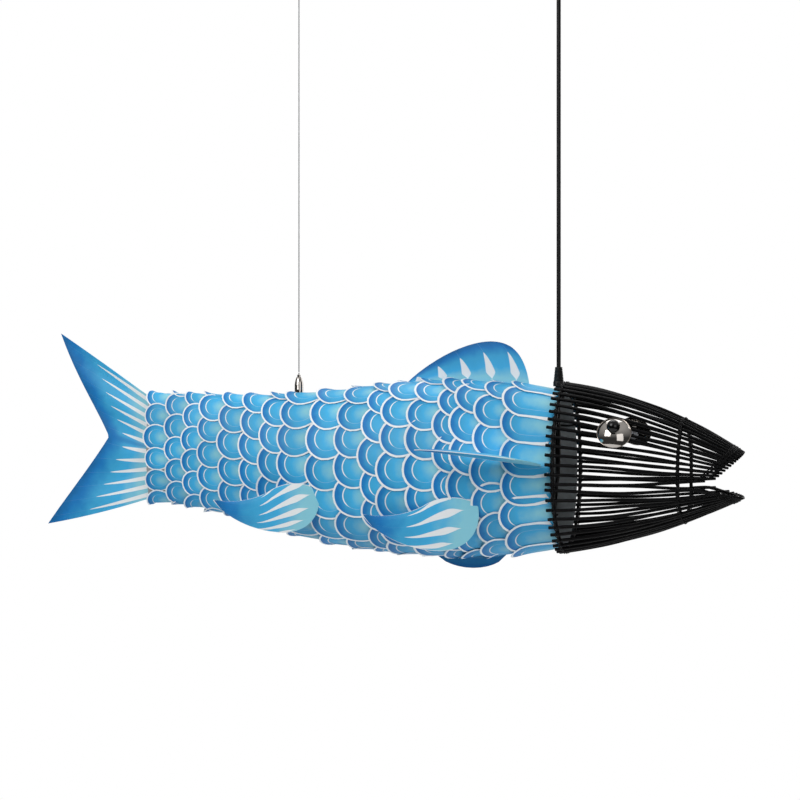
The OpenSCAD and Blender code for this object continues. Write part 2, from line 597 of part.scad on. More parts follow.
module tail_fin() color("#4aa8de") upright_card() {
    x = tail_root_x;
    in_x = hoop_x_list[7] - wire_d/2 - 0.1;
    inside = lining_in + lining_t + 2;
    h = tail_half_h - inside;
    in_h = half_h(in_x) - inside;
    z = mid_z(x);
    top = z + 180;
    bottom = z - 122;
    polygon(concat(
        [[in_x, mid_z(in_x) + in_h], [x - 0.5, z + h]],
        bezier([x - 4, z + tail_half_h], [x - 50, z + 112], [x - 96, z + 148],
               [x - tail_fin_len + 23, top], 8),
        bezier([x - tail_fin_len + 23, top], [x - 128, z + 110], [x - 92, z + 62], [x - 71, z + 17], 8),
        bezier([x - 71, z + 17], [x - 100, z - 26], [x - 142, z - 74], [x - tail_fin_len, bottom], 8),
        bezier([x - tail_fin_len, bottom], [x - 110, z - 112], [x - 60, z - 96],
               [x - 4, z - tail_half_h], 8),
        [[x - 0.5, z - h], [in_x, mid_z(in_x) - in_h]]));
}
// A leaf-shaped card with its root at the origin and its tip a length away along -X
module leaf(length, depth, rise) linear_extrude(fin_t) polygon(concat(
    bezier([0, 0], [-length*0.06, rise], [-length*0.3, rise*1.5], [-length*0.48, -rise*0.1], 8),
    bezier([-length*0.48, -rise*0.1], [-length*0.62, -rise*0.9], [-length*0.8, -rise*1.4],
           [-length, -rise*0.9], 8),
    bezier([-length, -rise*0.9], [-length*0.9, -depth*0.6], [-length*0.64, -depth],
           [-length*0.33, -depth], 8),
    bezier([-length*0.33, -depth], [-length*0.08, -depth*0.96], [length*0.03, -depth*0.5], [0, 0], 8)));
pectoral_x = -5;
pectoral_in = 1.8;
front_pelvic_out = -0.9;
rear_pelvic_out = -3.5;
function side_y(x, z) = half_w(x)*sqrt(1 - pow((z - mid_z(x))/half_h(x), 2));
// How far the flank leans in below a point of it, in degrees
function flank_lean(x, z) = let (u = (mid_z(x) - z)/half_h(x))
    atan(half_w(x)*u/(half_h(x)*sqrt(1 - u*u)));
// Angle of the neck's taper on the flank, and how far the pectoral fins flare from it
neck_taper = atan(2*(body_half_w - neck_half_w)/(swell_at*body_len));
pectoral_flare = 8.5474;
// How much more upright a pelvic fin stands than the flank at its root
front_pelvic_up = 9.4662;
rear_pelvic_up = 3.6855;
module pectoral(side) color("#3f9fd9") {
    z = mid_z(pectoral_x) + 7;
    translate([pectoral_x, side*(side_y(pectoral_x, z) - pectoral_in), z])
        rotate([0, 7, -side*(neck_taper + pectoral_flare)])
        rotate([side*6, 0, 0]) mirror([0, side < 0 ? 0 : 1, 0]) leaf(pectoral_len, 74, 6);
}
module left_pectoral_fin() pectoral(1);
module right_pectoral_fin() pectoral(-1);
module pelvic(side, x, z, length, depth, out, up) color("#3f9fd9")
    translate([x, side*(side_y(x, z) + out), z]) rotate([0, 0, -side*7])
        rotate([90 - side*(flank_lean(x, z) - up), 0, 0])
        translate([0, 0, side > 0 ? -fin_t : 0]) leaf(length, depth, 14);
front_pelvic_x = -98;
rear_pelvic_x = -349;
module front_pelvic(side)
    pelvic(side, front_pelvic_x, mid_z(front_pelvic_x) - 52, pelvic_len, 66, front_pelvic_out,
           front_pelvic_up);
module rear_pelvic(side)
    pelvic(side, rear_pelvic_x, mid_z(rear_pelvic_x) - 36, pelvic_len*0.95, 62, rear_pelvic_out,
           rear_pelvic_up);
module left_front_pelvic_fin() front_pelvic(1);
module right_front_pelvic_fin() front_pelvic(-1);
module left_rear_pelvic_fin() rear_pelvic(1);
module right_rear_pelvic_fin() rear_pelvic(-1);

// ---------------------------------------------------------------- lamp
module cross_bar(x) color("silver") difference() {
    reach = half_w(x) - hoop_in - wire_d - 0.5;
    translate([x - bar_t/2, -reach, mid_z(x) - bar_h/2]) cube([bar_t, 2*reach, bar_h]);
    translate([x, 0, mid_z(x)]) rotate([0, 90, 0]) cylinder(r = 5 + fit, h = 6, center = true);
}
module front_cross_bar() cross_bar(front_bar_x);
module rear_cross_bar() cross_bar(rear_bar_x);
// Lampholder facing +X, on a threaded nipple through its cross bar, with its terminals behind
module lampholder(x) color("#f1efe9") translate([x, 0, mid_z(x)]) rotate([0, 90, 0]) difference() {
    union() {
        translate([0, 0, -6]) cylinder(r = 5, h = 12);
        translate([0, 0, -22]) cylinder(r = 11, h = 22 - bar_t/2 - 0.1);
        translate([0, 0, bar_t/2 + 0.1]) cylinder(r = holder_r*0.7, h = 8);
        translate([0, 0, 8]) cylinder(r = holder_r, h = holder_len - 8);
    }
    translate([0, 0, holder_len - cap_len - 2]) cylinder(r = cap_r + 0.4, h = cap_len + 3);
}
module front_lampholder() lampholder(front_bar_x);
module rear_lampholder() lampholder(rear_bar_x);
function globe(r, a) = [r*cos(a), cap_len + bulb_len - bulb_d/2 + r*sin(a)];
module bulb(x) color("#f7f4ea") translate([x + holder_len - cap_len, 0, mid_z(x)]) rotate([0, 90, 0])
    rotate_extrude($fn = 64) polygon(concat(
        [[0, 0], [5, 0], [cap_r, 3], [cap_r, cap_len]], [for (a = [-56:7.3:90]) globe(bulb_d/2, a)],
        [for (a = [90:-7.3:-56]) globe(bulb_d/2 - bulb_wall, a)],
        [[cap_r - bulb_wall, cap_len + 1], [0, cap_len + 1]]));
module front_bulb() bulb(front_bar_x);
module rear_bulb() bulb(rear_bar_x);
module internal_lead() color("#151515") {
    tube(LEAD_ROUTE, same(lead_d/2, len(LEAD_ROUTE)), 10, [0, 1, 0.05]);
    tube(BACK_LEAD_ROUTE, same(lead_d/2, len(BACK_LEAD_ROUTE)), 10, [0, 1, 0.05]);
}

ceiling_bracket();
canopy();
canopy_screws();
terminal_block();
supply_leads();
swivel_housing();
front_swivel_ring();
cord_grip();
power_cord();
anchor_base();
anchor_cap();
rear_swivel_ring();
cable_stop();
steel_cable();
cord_gland();
gland_nut();
gland_bracket();
cable_gripper();
gripper_plunger();
gripper_pin();
cable_tail();
head_hoop();
mid_hoop();
upper_jaw_wire();
lower_jaw_wire();
upper_slats();
lower_slats();
lashing_cord();
left_eye_dome();
right_eye_dome();
left_pupil();
right_pupil();
eye_studs();
body_hoops();
stringers();
front_lining();
rear_lining();
scale_band_1();
scale_band_2();
scale_band_3();
scale_band_4();
scale_band_5();
scale_band_6();
dorsal_fin();
ventral_fin();
tail_fin();
left_pectoral_fin();
right_pectoral_fin();
left_front_pelvic_fin();
right_front_pelvic_fin();
left_rear_pelvic_fin();
right_rear_pelvic_fin();
front_cross_bar();
rear_cross_bar();
front_lampholder();
rear_lampholder();
front_bulb();
rear_bulb();
internal_lead();
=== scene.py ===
import json

import bpy
import numpy as np
from bpy.props import FloatProperty, FloatVectorProperty, IntProperty, PointerProperty
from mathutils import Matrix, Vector

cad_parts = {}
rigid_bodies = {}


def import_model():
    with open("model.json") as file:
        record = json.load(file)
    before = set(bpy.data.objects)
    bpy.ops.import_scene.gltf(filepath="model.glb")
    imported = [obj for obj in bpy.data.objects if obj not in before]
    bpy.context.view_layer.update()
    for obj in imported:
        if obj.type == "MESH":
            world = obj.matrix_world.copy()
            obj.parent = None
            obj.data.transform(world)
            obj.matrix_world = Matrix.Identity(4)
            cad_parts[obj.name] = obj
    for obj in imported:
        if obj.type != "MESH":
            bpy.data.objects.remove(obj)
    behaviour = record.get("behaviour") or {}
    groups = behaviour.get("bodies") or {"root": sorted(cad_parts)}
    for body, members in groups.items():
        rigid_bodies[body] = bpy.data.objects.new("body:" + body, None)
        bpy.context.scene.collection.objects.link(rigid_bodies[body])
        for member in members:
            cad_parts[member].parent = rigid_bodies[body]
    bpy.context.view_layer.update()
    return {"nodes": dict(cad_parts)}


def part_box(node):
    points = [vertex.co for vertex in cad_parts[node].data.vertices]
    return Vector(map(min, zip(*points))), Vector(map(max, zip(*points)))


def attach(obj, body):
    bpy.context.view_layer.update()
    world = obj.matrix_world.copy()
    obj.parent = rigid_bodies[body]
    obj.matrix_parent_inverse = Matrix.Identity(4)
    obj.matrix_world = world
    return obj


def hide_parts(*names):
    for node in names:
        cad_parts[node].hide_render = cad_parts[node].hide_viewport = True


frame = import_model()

bl_info = {
    "name": "Fish Pendant Lamp",
    "version": (1, 0, 0),
    "blender": (4, 5, 0),
    "location": "3D View > Sidebar > Fish Lamp",
    "description": "Builds the looks of a fish-shaped pendant lamp round its frame",
    "category": "Add Mesh",
}

MM = 0.001
FISH = "fish"

# ------------------------------------------------------------------ places taken from the frame
# All lengths below are millimetres in the frame's own axes.


def box_mm(node):
    """Lowest and highest corner of a frame node, in millimetres."""
    low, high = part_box(node)
    return np.array(low) / MM, np.array(high) / MM


def middle_mm(node):
    """Middle of a frame node's box, in millimetres."""
    low, high = box_mm(node)
    return (low + high) / 2


CARD_FRONT_X = box_mm("scale_band_1")[1][0]
TAIL_ROOT_X = box_mm("scale_band_6")[0][0]
BODY_LEN = CARD_FRONT_X - TAIL_ROOT_X
BODY_HALF_H, NECK_HALF_H, TAIL_HALF_H = 132.0, 119.5, 87.0
BODY_HALF_W, NECK_HALF_W, TAIL_HALF_W = 95.0, 90.0, 20.0
AXIS_Z, TAIL_LIFT = -766.0, 26.5
SWELL_AT, NARROW_FROM, LIFT_FROM = 0.25, 0.3, 0.5
HOOP_X = middle_mm("head_hoop")[0]
HEAD_Z = AXIS_Z + 2.4
SLAT_D, SLAT_TIP_D = 4.4, 3.6
SLAT_HALF_H = NECK_HALF_H + SLAT_D / 2 + 0.8
SLAT_HALF_W = NECK_HALF_W + SLAT_D / 2 + 0.8
CORNER_X, NOSE_X = HOOP_X + 210, HOOP_X + 258
MOUTH_HALF_W = 46.5
MID_HOOP_X = HOOP_X + 173
UPPER_SPREAD, LOWER_SPREAD = np.radians(100), np.radians(76)
HOOP_WIRE_D, JAW_WIRE_D = 5.0, 3.0
UPPER_SLATS, LOWER_SLATS = 32, 22
STUB = 11.0
GLAND_CLEAR = 12.4
REAR_X = middle_mm("steel_cable")[0]

CORD_D, CABLE_D, LEAD_D = 6.3, 1.6, 5.0
CORD_Z = [-622.5, -610, -590, -560, -520, -480, -440, -400, -360, -320, -280,
          -240, -200, -160, -120, -80, -50, -30, -23]
CABLE_Z = CORD_Z[:-1] + [-27]
LEAD_ROUTE = [[0, 0, -623.5], [0, 0, -640], [0, 0, -660], [0, 0, -685], [1, -4, -705],
              [3, -10, -725], [5, -18, -745], [6, -26, -768], [4, -32, -790], [-2, -35, -810],
              [-14, -35, -826], [-32, -33, -836], [-55, -30, -838], [-82, -27, -835],
              [-108, -24, -829], [-134, -21, -822], [-160, -18, -815], [-186, -16, -808],
              [-210, -14, -802], [-232, -13, -798], [-250, -12, -790], [-258, -9, -778],
              [-256, -6, -767], [-247, -4, -761], [-237, -3, -760]]
BACK_LEAD_ROUTE = [[-237, 3, -772], [-249, 3, -774], [-262, 2, -782], [-274, -1, -794],
                   [-290, -4, -803], [-312, -7, -807], [-338, -8, -808], [-366, -8, -807],
                   [-392, -8, -804], [-416, -7, -799], [-438, -6, -791], [-450, -4, -779],
                   [-449, -2, -767], [-440, 0, -762], [-429, 0, -762]]

# Rows of scales: where each row's round free edge stands, from the tail to the head
ROW_EDGES = [-656, -621, -592, -564, -527, -489, -453, -423, -368, -323, -280, -250, -210,
             -166, -140, -108, -68]


# ------------------------------------------------------------------ settings
class LampSizes(bpy.types.PropertyGroup):
    """Sizes of the pieces that the frame leaves open."""

    card: FloatProperty(name="Card thickness", description="Thickness of a scale's card",
                        default=0.6 * MM, unit="LENGTH", precision=5)
    row_rise: FloatProperty(name="Row rise", description="How much higher each row lies on the row behind it",
                            default=3.0 * MM, unit="LENGTH", precision=5)
    side_rise: FloatProperty(name="Side rise", description="How much a side edge lies over its neighbour",
                             default=2.4 * MM, unit="LENGTH", precision=5)
    crown: FloatProperty(name="Crown", description="How far a free edge's side corners stand off the body",
                         default=4.5 * MM, unit="LENGTH", precision=5)
    curl: FloatProperty(name="Curl", description="How far a scale's free edge curls off the body",
                        default=2.2 * MM, unit="LENGTH", precision=5)
    tail_pitch: FloatProperty(name="Tail pitch", description="Distance between scales round the tail",
                              default=33 * MM, unit="LENGTH")
    body_pitch: FloatProperty(name="Body pitch", description="Distance between scales round the body",
                              default=46 * MM, unit="LENGTH")
    fin_card: FloatProperty(name="Fin card thickness", description="Thickness of a fin's card",
                            default=1.0 * MM, unit="LENGTH", precision=5)
    slat_wander: FloatProperty(name="Slat wander", description="How far a rattan slat strays from its line",
                               default=1.7 * MM, unit="LENGTH", precision=5)
    lashing_d: FloatProperty(name="Lashing diameter", description="Diameter of the waxed lashing cord",
                             default=1.5 * MM, unit="LENGTH", precision=5)
    seed: IntProperty(name="Seed", description="Number that fixes the small differences between pieces",
                      default=7)


def colour(name, description, r, g, b):
    """A colour property from display values of 0 to 255."""
    return FloatVectorProperty(name=name, description=description, subtype="COLOR", size=3,
                               min=0, max=1, default=display(r, g, b))


def display(r, g, b):
    """Scene-linear colour from display values of 0 to 255."""
    share = np.array([r, g, b]) / 255
    return tuple(np.where(share <= 0.04045, share / 12.92, ((share + 0.055) / 1.055) ** 2.4))


class LampColours(bpy.types.PropertyGroup):
    """Colours of the printed card, the rattan and the metal."""

    outline: colour("Outline", "White line round each scale and fin ray", 244, 248, 250)
    deep: colour("Deep blue", "Crescent at the free edge of a scale", 24, 124, 196)
    middle: colour("Middle blue", "Body of a scale", 62, 170, 220)
    pale: colour("Pale cyan", "Covered end of a scale and roots of the fins", 142, 212, 230)
    # Belly blue stands partly for a darker print and partly for painted shade of the underside
    shade: colour("Belly blue", "Underside of the fish", 20, 98, 160)
    lining: colour("Lining", "Card inside the shade", 196, 204, 208)
    rattan: colour("Rattan", "Lacquered slats", 4, 4, 5)
    wire: colour("Wire", "Enamelled hoops", 7, 7, 8)
    cord: colour("Cord", "Sheath of the cord and the gland", 9, 9, 10)
    chrome: colour("Chrome", "Eyes and cable gripper", 196, 190, 184)
    steel: colour("Steel", "Zinc plated brackets", 168, 170, 174)
    porcelain: colour("Porcelain", "Lampholders and terminal block", 226, 223, 214)
    brass: colour("Brass", "Cap of a bulb", 190, 150, 84)
    copper_lead: colour("Leads", "Insulated supply cores", 128, 78, 40)


# ------------------------------------------------------------------ shapes of the fish
def ease(u):
    """Half a cosine wave: 0 for u of 0 or less, 1 for u of 1 or more."""
    return 0.5 - 0.5 * np.cos(np.pi * np.clip(u, 0, 1))


def along(x):
    """Share of the body's length behind the card's front edge."""
    return (CARD_FRONT_X - x) / BODY_LEN


def half_h(x):
    """Half height: a parabola up to the swell, then half a cosine wave down to the tail."""
    s = along(x)
    front = BODY_HALF_H - (BODY_HALF_H - NECK_HALF_H) * (1 - s / SWELL_AT) ** 2
    rear = BODY_HALF_H - (BODY_HALF_H - TAIL_HALF_H) * ease((s - SWELL_AT) / (1 - SWELL_AT))
    return np.where(s < SWELL_AT, front, rear)


def half_w(x):
    """Half width: as the half height, but the narrowing starts later."""
    s = along(x)
    front = BODY_HALF_W - (BODY_HALF_W - NECK_HALF_W) * (1 - s / SWELL_AT) ** 2
    rear = BODY_HALF_W - (BODY_HALF_W - TAIL_HALF_W) * ease((s - NARROW_FROM) / (1 - NARROW_FROM))
    return np.where(s < SWELL_AT, front, rear)


def mid_z(x):
    """Height of the body's middle line, which rises as half a cosine wave towards the tail."""
    return AXIS_Z + TAIL_LIFT * ease((along(x) - LIFT_FROM) / (1 - LIFT_FROM))


def shell(x, turn, outset):
    """Point on the oval body at turn radians from +Y towards +Z, moved out along the oval's own normal.
    The normal is (cos turn / half width, sin turn / half height), made one unit long."""
    w, h = half_w(x), half_h(x)
    n_y, n_z = np.cos(turn) / w, np.sin(turn) / h
    size = np.hypot(n_y, n_z)
    n_y, n_z = n_y / size, n_z / size
    point = np.stack([x + 0 * turn, w * np.cos(turn) + outset * n_y,
                      mid_z(x) + h * np.sin(turn) + outset * n_z], -1)
    return point, np.stack([0 * n_y + 0 * x, n_y, n_z], -1)


def girth(x, steps=720):
    """Turn angles and the distance walked round the oval to each of them."""
    turn = np.linspace(0, 2 * np.pi, steps + 1)
    y, z = half_w(x) * np.cos(turn), half_h(x) * np.sin(turn)
    walked = np.concatenate([[0], np.cumsum(np.hypot(np.diff(y), np.diff(z)))])
    return turn, walked


def turn_at(x, distance):
    """Turn angle reached after walking a distance round the oval at x, past the start as often as needed."""
    turn, walked = girth(x)
    laps = np.floor(distance / walked[-1])
    return np.interp(distance - laps * walked[-1], walked, turn) + 2 * np.pi * laps


def hoop_turn(jaw, s):
    """Turn of a slat's root round the head hoop, from straight up, for s from -1 to 1 across a jaw."""
    return UPPER_SPREAD * s if jaw > 0 else np.pi - LOWER_SPREAD * s


def slat_root(jaw, s):
    """Root of a slat on the head hoop's ellipse."""
    a = hoop_turn(jaw, s)
    return np.stack([HOOP_X + 0 * a, SLAT_HALF_W * np.sin(a), HEAD_Z + SLAT_HALF_H * np.cos(a)], -1)


def slat_tip(jaw, s):
    """Tip of a slat on the curved edge of a jaw, from one corner of the mouth round the nose to the other."""
    if jaw > 0:
        a = np.pi / 2 * s
        reach, across = np.cos(a), np.sin(a)
        corner_z, nose_z = HEAD_Z - 15.5, HEAD_Z + 23.5
    else:
        reach, across = np.sqrt(np.maximum(0, 1 - s * s)), s
        corner_z, nose_z = HEAD_Z - 28, HEAD_Z - 40
    return np.stack([CORNER_X + (NOSE_X - CORNER_X) * reach, MOUTH_HALF_W * across,
                     corner_z + (nose_z - corner_z) * reach], -1)


def cage(jaw, s, u, out=0.0):
    """Point on the slatted head: the straight line from root to tip, bowed out by a parabola along the hoop's
    radius, u going from 0 at the hoop to 1 at the jaw."""
    a = hoop_turn(jaw, s)
    c = np.cos(a)
    bow = 16.5 * c * c + 9 * (1 - c * c) if jaw > 0 else 10.0 + 0 * c
    lift = (bow * 4 * u * (1 - u) + out)[..., None]
    way = np.stack([0 * a, np.sin(a), np.cos(a)], -1) + 0 * lift
    u = np.asarray(u)[..., None]
    return slat_root(jaw, s) * (1 - u) + slat_tip(jaw, s) * u + way * lift


def cage_at(jaw, s, x, out=0.0):
    """Point on the slatted head at a given distance forward."""
    return cage(jaw, s, (x - HOOP_X) / (slat_tip(jaw, s)[..., 0] - HOOP_X), out)


# ------------------------------------------------------------------ mesh building
class Solid:
    """Points, faces, pattern coordinates and tones that grow piece by piece into one mesh."""

    def __init__(self):
        self.points, self.faces, self.uv, self.tone, self.slots = [], [], [], [], []
        self.count = 0

    def add(self, points, faces, uv=None, tone=(1, 0.1, 0.5), slot=0):
        """Adds points (n, 3) and a list of face index rows, which count from this part's first point."""
        points = np.asarray(points, float).reshape(-1, 3)
        uv = np.zeros((len(points), 2)) if uv is None else np.asarray(uv, float).reshape(-1, 2)
        for block in faces:
            block = np.asarray(block)
            self.faces.extend((block + self.count).tolist())
            self.slots.extend([slot] * len(block))
        self.points.append(points)
        self.uv.append(uv)
        self.tone.append(np.broadcast_to(np.asarray(tone, float), (len(points), 3)))
        self.count += len(points)

    def build(self, name, materials, body=FISH, sharp=35):
        """Makes the object, in metres, smooth apart from edges sharper than an angle in degrees."""
        mesh = bpy.data.meshes.new(name)
        mesh.from_pydata(np.concatenate(self.points) * MM, [], self.faces)
        uv, tone = np.concatenate(self.uv), np.concatenate(self.tone)
        corner = np.zeros(len(mesh.loops), np.int32)
        mesh.loops.foreach_get("vertex_index", corner)
        layer = mesh.uv_layers.new(name="pattern")
        layer.data.foreach_set("uv", uv[corner].astype(np.float32).ravel())
        mesh.attributes.new("tone", "FLOAT_VECTOR", "POINT").data.foreach_set("vector",
                                                                              tone.astype(np.float32).ravel())
        for material in materials:
            mesh.materials.append(material)
        mesh.polygons.foreach_set("material_index", np.array(self.slots, np.int32))
        mesh.polygons.foreach_set("use_smooth", np.ones(len(mesh.polygons), bool))
        mesh.set_sharp_from_angle(angle=np.radians(sharp))
        mesh.validate()
        piece = bpy.data.objects.new(name, mesh)
        bpy.context.scene.collection.objects.link(piece)
        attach(piece, body)
        return piece


def grid_faces(rows, columns, wrap=False, start=0, flip=False):
    """Index quads of a grid of points, row after row, closed across the columns if wrap is set."""
    i, k = np.meshgrid(np.arange(rows - 1), np.arange(columns if wrap else columns - 1), indexing="ij")
    after = (k + 1) % columns
    quads = np.stack([i * columns + k, i * columns + after, (i + 1) * columns + after,
                      (i + 1) * columns + k], -1).reshape(-1, 4) + start
    return quads[:, ::-1] if flip else quads


def add_card(solid, top, out, thickness, uv):
    """A closed card: the grid of points top, the same grid moved in against the normals out, and a rim."""
    rows, columns = top.shape[:2]
    under = top - out * thickness
    ring = np.concatenate([np.arange(columns), np.arange(1, rows) * columns + columns - 1,
                           (rows - 1) * columns + np.arange(columns - 2, -1, -1),
                           np.arange(rows - 2, 0, -1) * columns])
    after = np.roll(ring, -1)
    lower = rows * columns
    rim = np.stack([after, ring, ring + lower, after + lower], -1)
    faces = [grid_faces(rows, columns), grid_faces(rows, columns, start=lower, flip=True), rim]
    # The grid's own turn decides which side is out
    mid_r, mid_c = rows // 2, columns // 2
    a, b = top[mid_r, mid_c] - top[mid_r, mid_c - 1], top[mid_r, mid_c] - top[mid_r - 1, mid_c]
    if np.dot(np.cross(a, b), out[mid_r, mid_c]) < 0:
        faces = [f[:, ::-1] for f in faces]
    solid.add(np.concatenate([top.reshape(-1, 3), under.reshape(-1, 3)]), faces,
              np.concatenate([uv.reshape(-1, 2)] * 2))


def smooth_path(points, steps, closed=False):
    """A Catmull-Rom curve through points: each span is a cubic, its end slopes half the chord over it."""
    p = np.asarray(points, float)
    n = len(p)
    index = np.arange(n if closed else n - 1)
    take = (lambda k: p[k % n]) if closed else (lambda k: p[np.clip(k, 0, n - 1)])
    a, b, c, d = take(index - 1), take(index), take(index + 1), take(index + 2)
    t = np.linspace(0, 1, steps, endpoint=False)[:, None, None]
    curve = 0.5 * (2 * b + (c - a) * t + (2 * a - 5 * b + 4 * c - d) * t ** 2
                   + (3 * b - a - 3 * c + d) * t ** 3)
    curve = curve.transpose(1, 0, 2).reshape(-1, 3)
    return curve if closed else np.concatenate([curve, p[-1:]])


def path_frame(path, up, closed=False):
    """Unit directions along a path and two directions square to it, the first square to up as well."""
    ahead = np.roll(path, -1, 0) - np.roll(path, 1, 0)
    if not closed:
        ahead[0], ahead[-1] = path[1] - path[0], path[-1] - path[-2]
    ahead /= np.linalg.norm(ahead, axis=1, keepdims=True)
    side = np.cross(np.broadcast_to(np.asarray(up, float), ahead.shape), ahead)
    side /= np.linalg.norm(side, axis=1, keepdims=True)
    return ahead, side, np.cross(ahead, side)


def add_tube(solid, path, radius, sides=12, up=(0, 0, 1), closed=False, lobes=0, lobe_depth=0.0,
             twist=0.0, cap_bevel=0.0):
    """A profile carried along a path: a circle, or a circle with lobes whose radius dips by lobe_depth between
    them and which turns by twist radians per millimetre. The pattern runs round in u and along in v."""
    ahead, side, other = path_frame(path, up, closed)
    step = np.linalg.norm(np.diff(path, axis=0), axis=1)
    walked = np.concatenate([[0], np.cumsum(step)])
    radius = np.broadcast_to(np.asarray(radius, float), len(path)).copy()
    if cap_bevel and not closed:
        path = np.concatenate([path[:1], path[:1] + ahead[:1] * cap_bevel, path[1:-1],
                               path[-1:] - ahead[-1:] * cap_bevel, path[-1:]])
        radius = np.concatenate([[radius[0] - cap_bevel], [radius[0]], radius[1:-1], [radius[-1]],
                                 [radius[-1] - cap_bevel]])
        walked = np.concatenate([walked[:1], walked[:1] + cap_bevel, walked[1:-1], walked[-1:] - cap_bevel,
                                 walked[-1:]])
        side = np.concatenate([side[:1], side, side[-1:]])
        other = np.concatenate([other[:1], other, other[-1:]])
    turn = np.linspace(0, 2 * np.pi, sides, endpoint=False)
    around = turn[None, :] + twist * walked[:, None]
    reach = radius[:, None] * (1 - lobe_depth * (0.5 - 0.5 * np.cos(lobes * turn))[None, :])
    points = (path[:, None] + (reach * np.cos(around))[..., None] * side[:, None]
              + (reach * np.sin(around))[..., None] * other[:, None])
    rows = len(path)
    u = np.broadcast_to(turn / (2 * np.pi), (rows, sides))
    uv = np.stack([u, np.broadcast_to(walked[:, None], u.shape) / 100], -1)
    faces = [grid_faces(rows, sides, wrap=True)]
    if closed:
        last = (rows - 1) * sides
        k = np.arange(sides)
        faces.append(np.stack([last + k, last + (k + 1) % sides, (k + 1) % sides, k], -1))
    else:
        faces += [np.arange(sides - 1, -1, -1)[None], (rows - 1) * sides + np.arange(sides)[None]]
    solid.add(points, faces, uv)


def add_lathe(solid, profile, origin, axis=(0, 0, 1), sides=48, closed=False):
    """A profile of (radius, height) points turned round an axis through origin. Radius 0 makes a pole."""
    profile = np.asarray(profile, float)
    axis = np.asarray(axis, float)
    side = np.cross([1.0, 0, 0] if abs(axis[1]) > 0.5 else [0.0, 1, 0], axis)
    side /= np.linalg.norm(side)
    other = np.cross(axis, side)
    turn = np.linspace(0, 2 * np.pi, sides, endpoint=False)
    ring = np.cos(turn)[:, None] * side + np.sin(turn)[:, None] * other
    inner = profile[1:-1] if not closed else profile
    points = origin + inner[:, None, :1] * ring[None] + inner[:, None, 1:] * axis
    walked = np.concatenate([[0], np.cumsum(np.hypot(*np.diff(inner, axis=0).T))])
    uv = np.stack(np.broadcast_arrays(turn / (2 * np.pi), walked[:, None] / 100), -1)
    rows = len(inner)
    faces = [grid_faces(rows, sides, wrap=True)]
    k = np.arange(sides)
    points, uv = points.reshape(-1, 3), uv.reshape(-1, 2)
    if closed:
        last = (rows - 1) * sides
        faces.append(np.stack([last + k, last + (k + 1) % sides, (k + 1) % sides, k], -1))
    else:
        poles = origin + profile[[0, -1], 1:] * axis
        low, high = rows * sides, rows * sides + 1
        faces.append(np.stack([0 * k + low, (k + 1) % sides, k], -1))
        rise = (rows - 1) * sides
        faces.append(np.stack([0 * k + high, rise + k, rise + (k + 1) % sides], -1))
        points = np.concatenate([points, poles])
        uv = np.concatenate([uv, [[0.5, 0], [0.5, 1]]])
    solid.add(points, faces, uv)


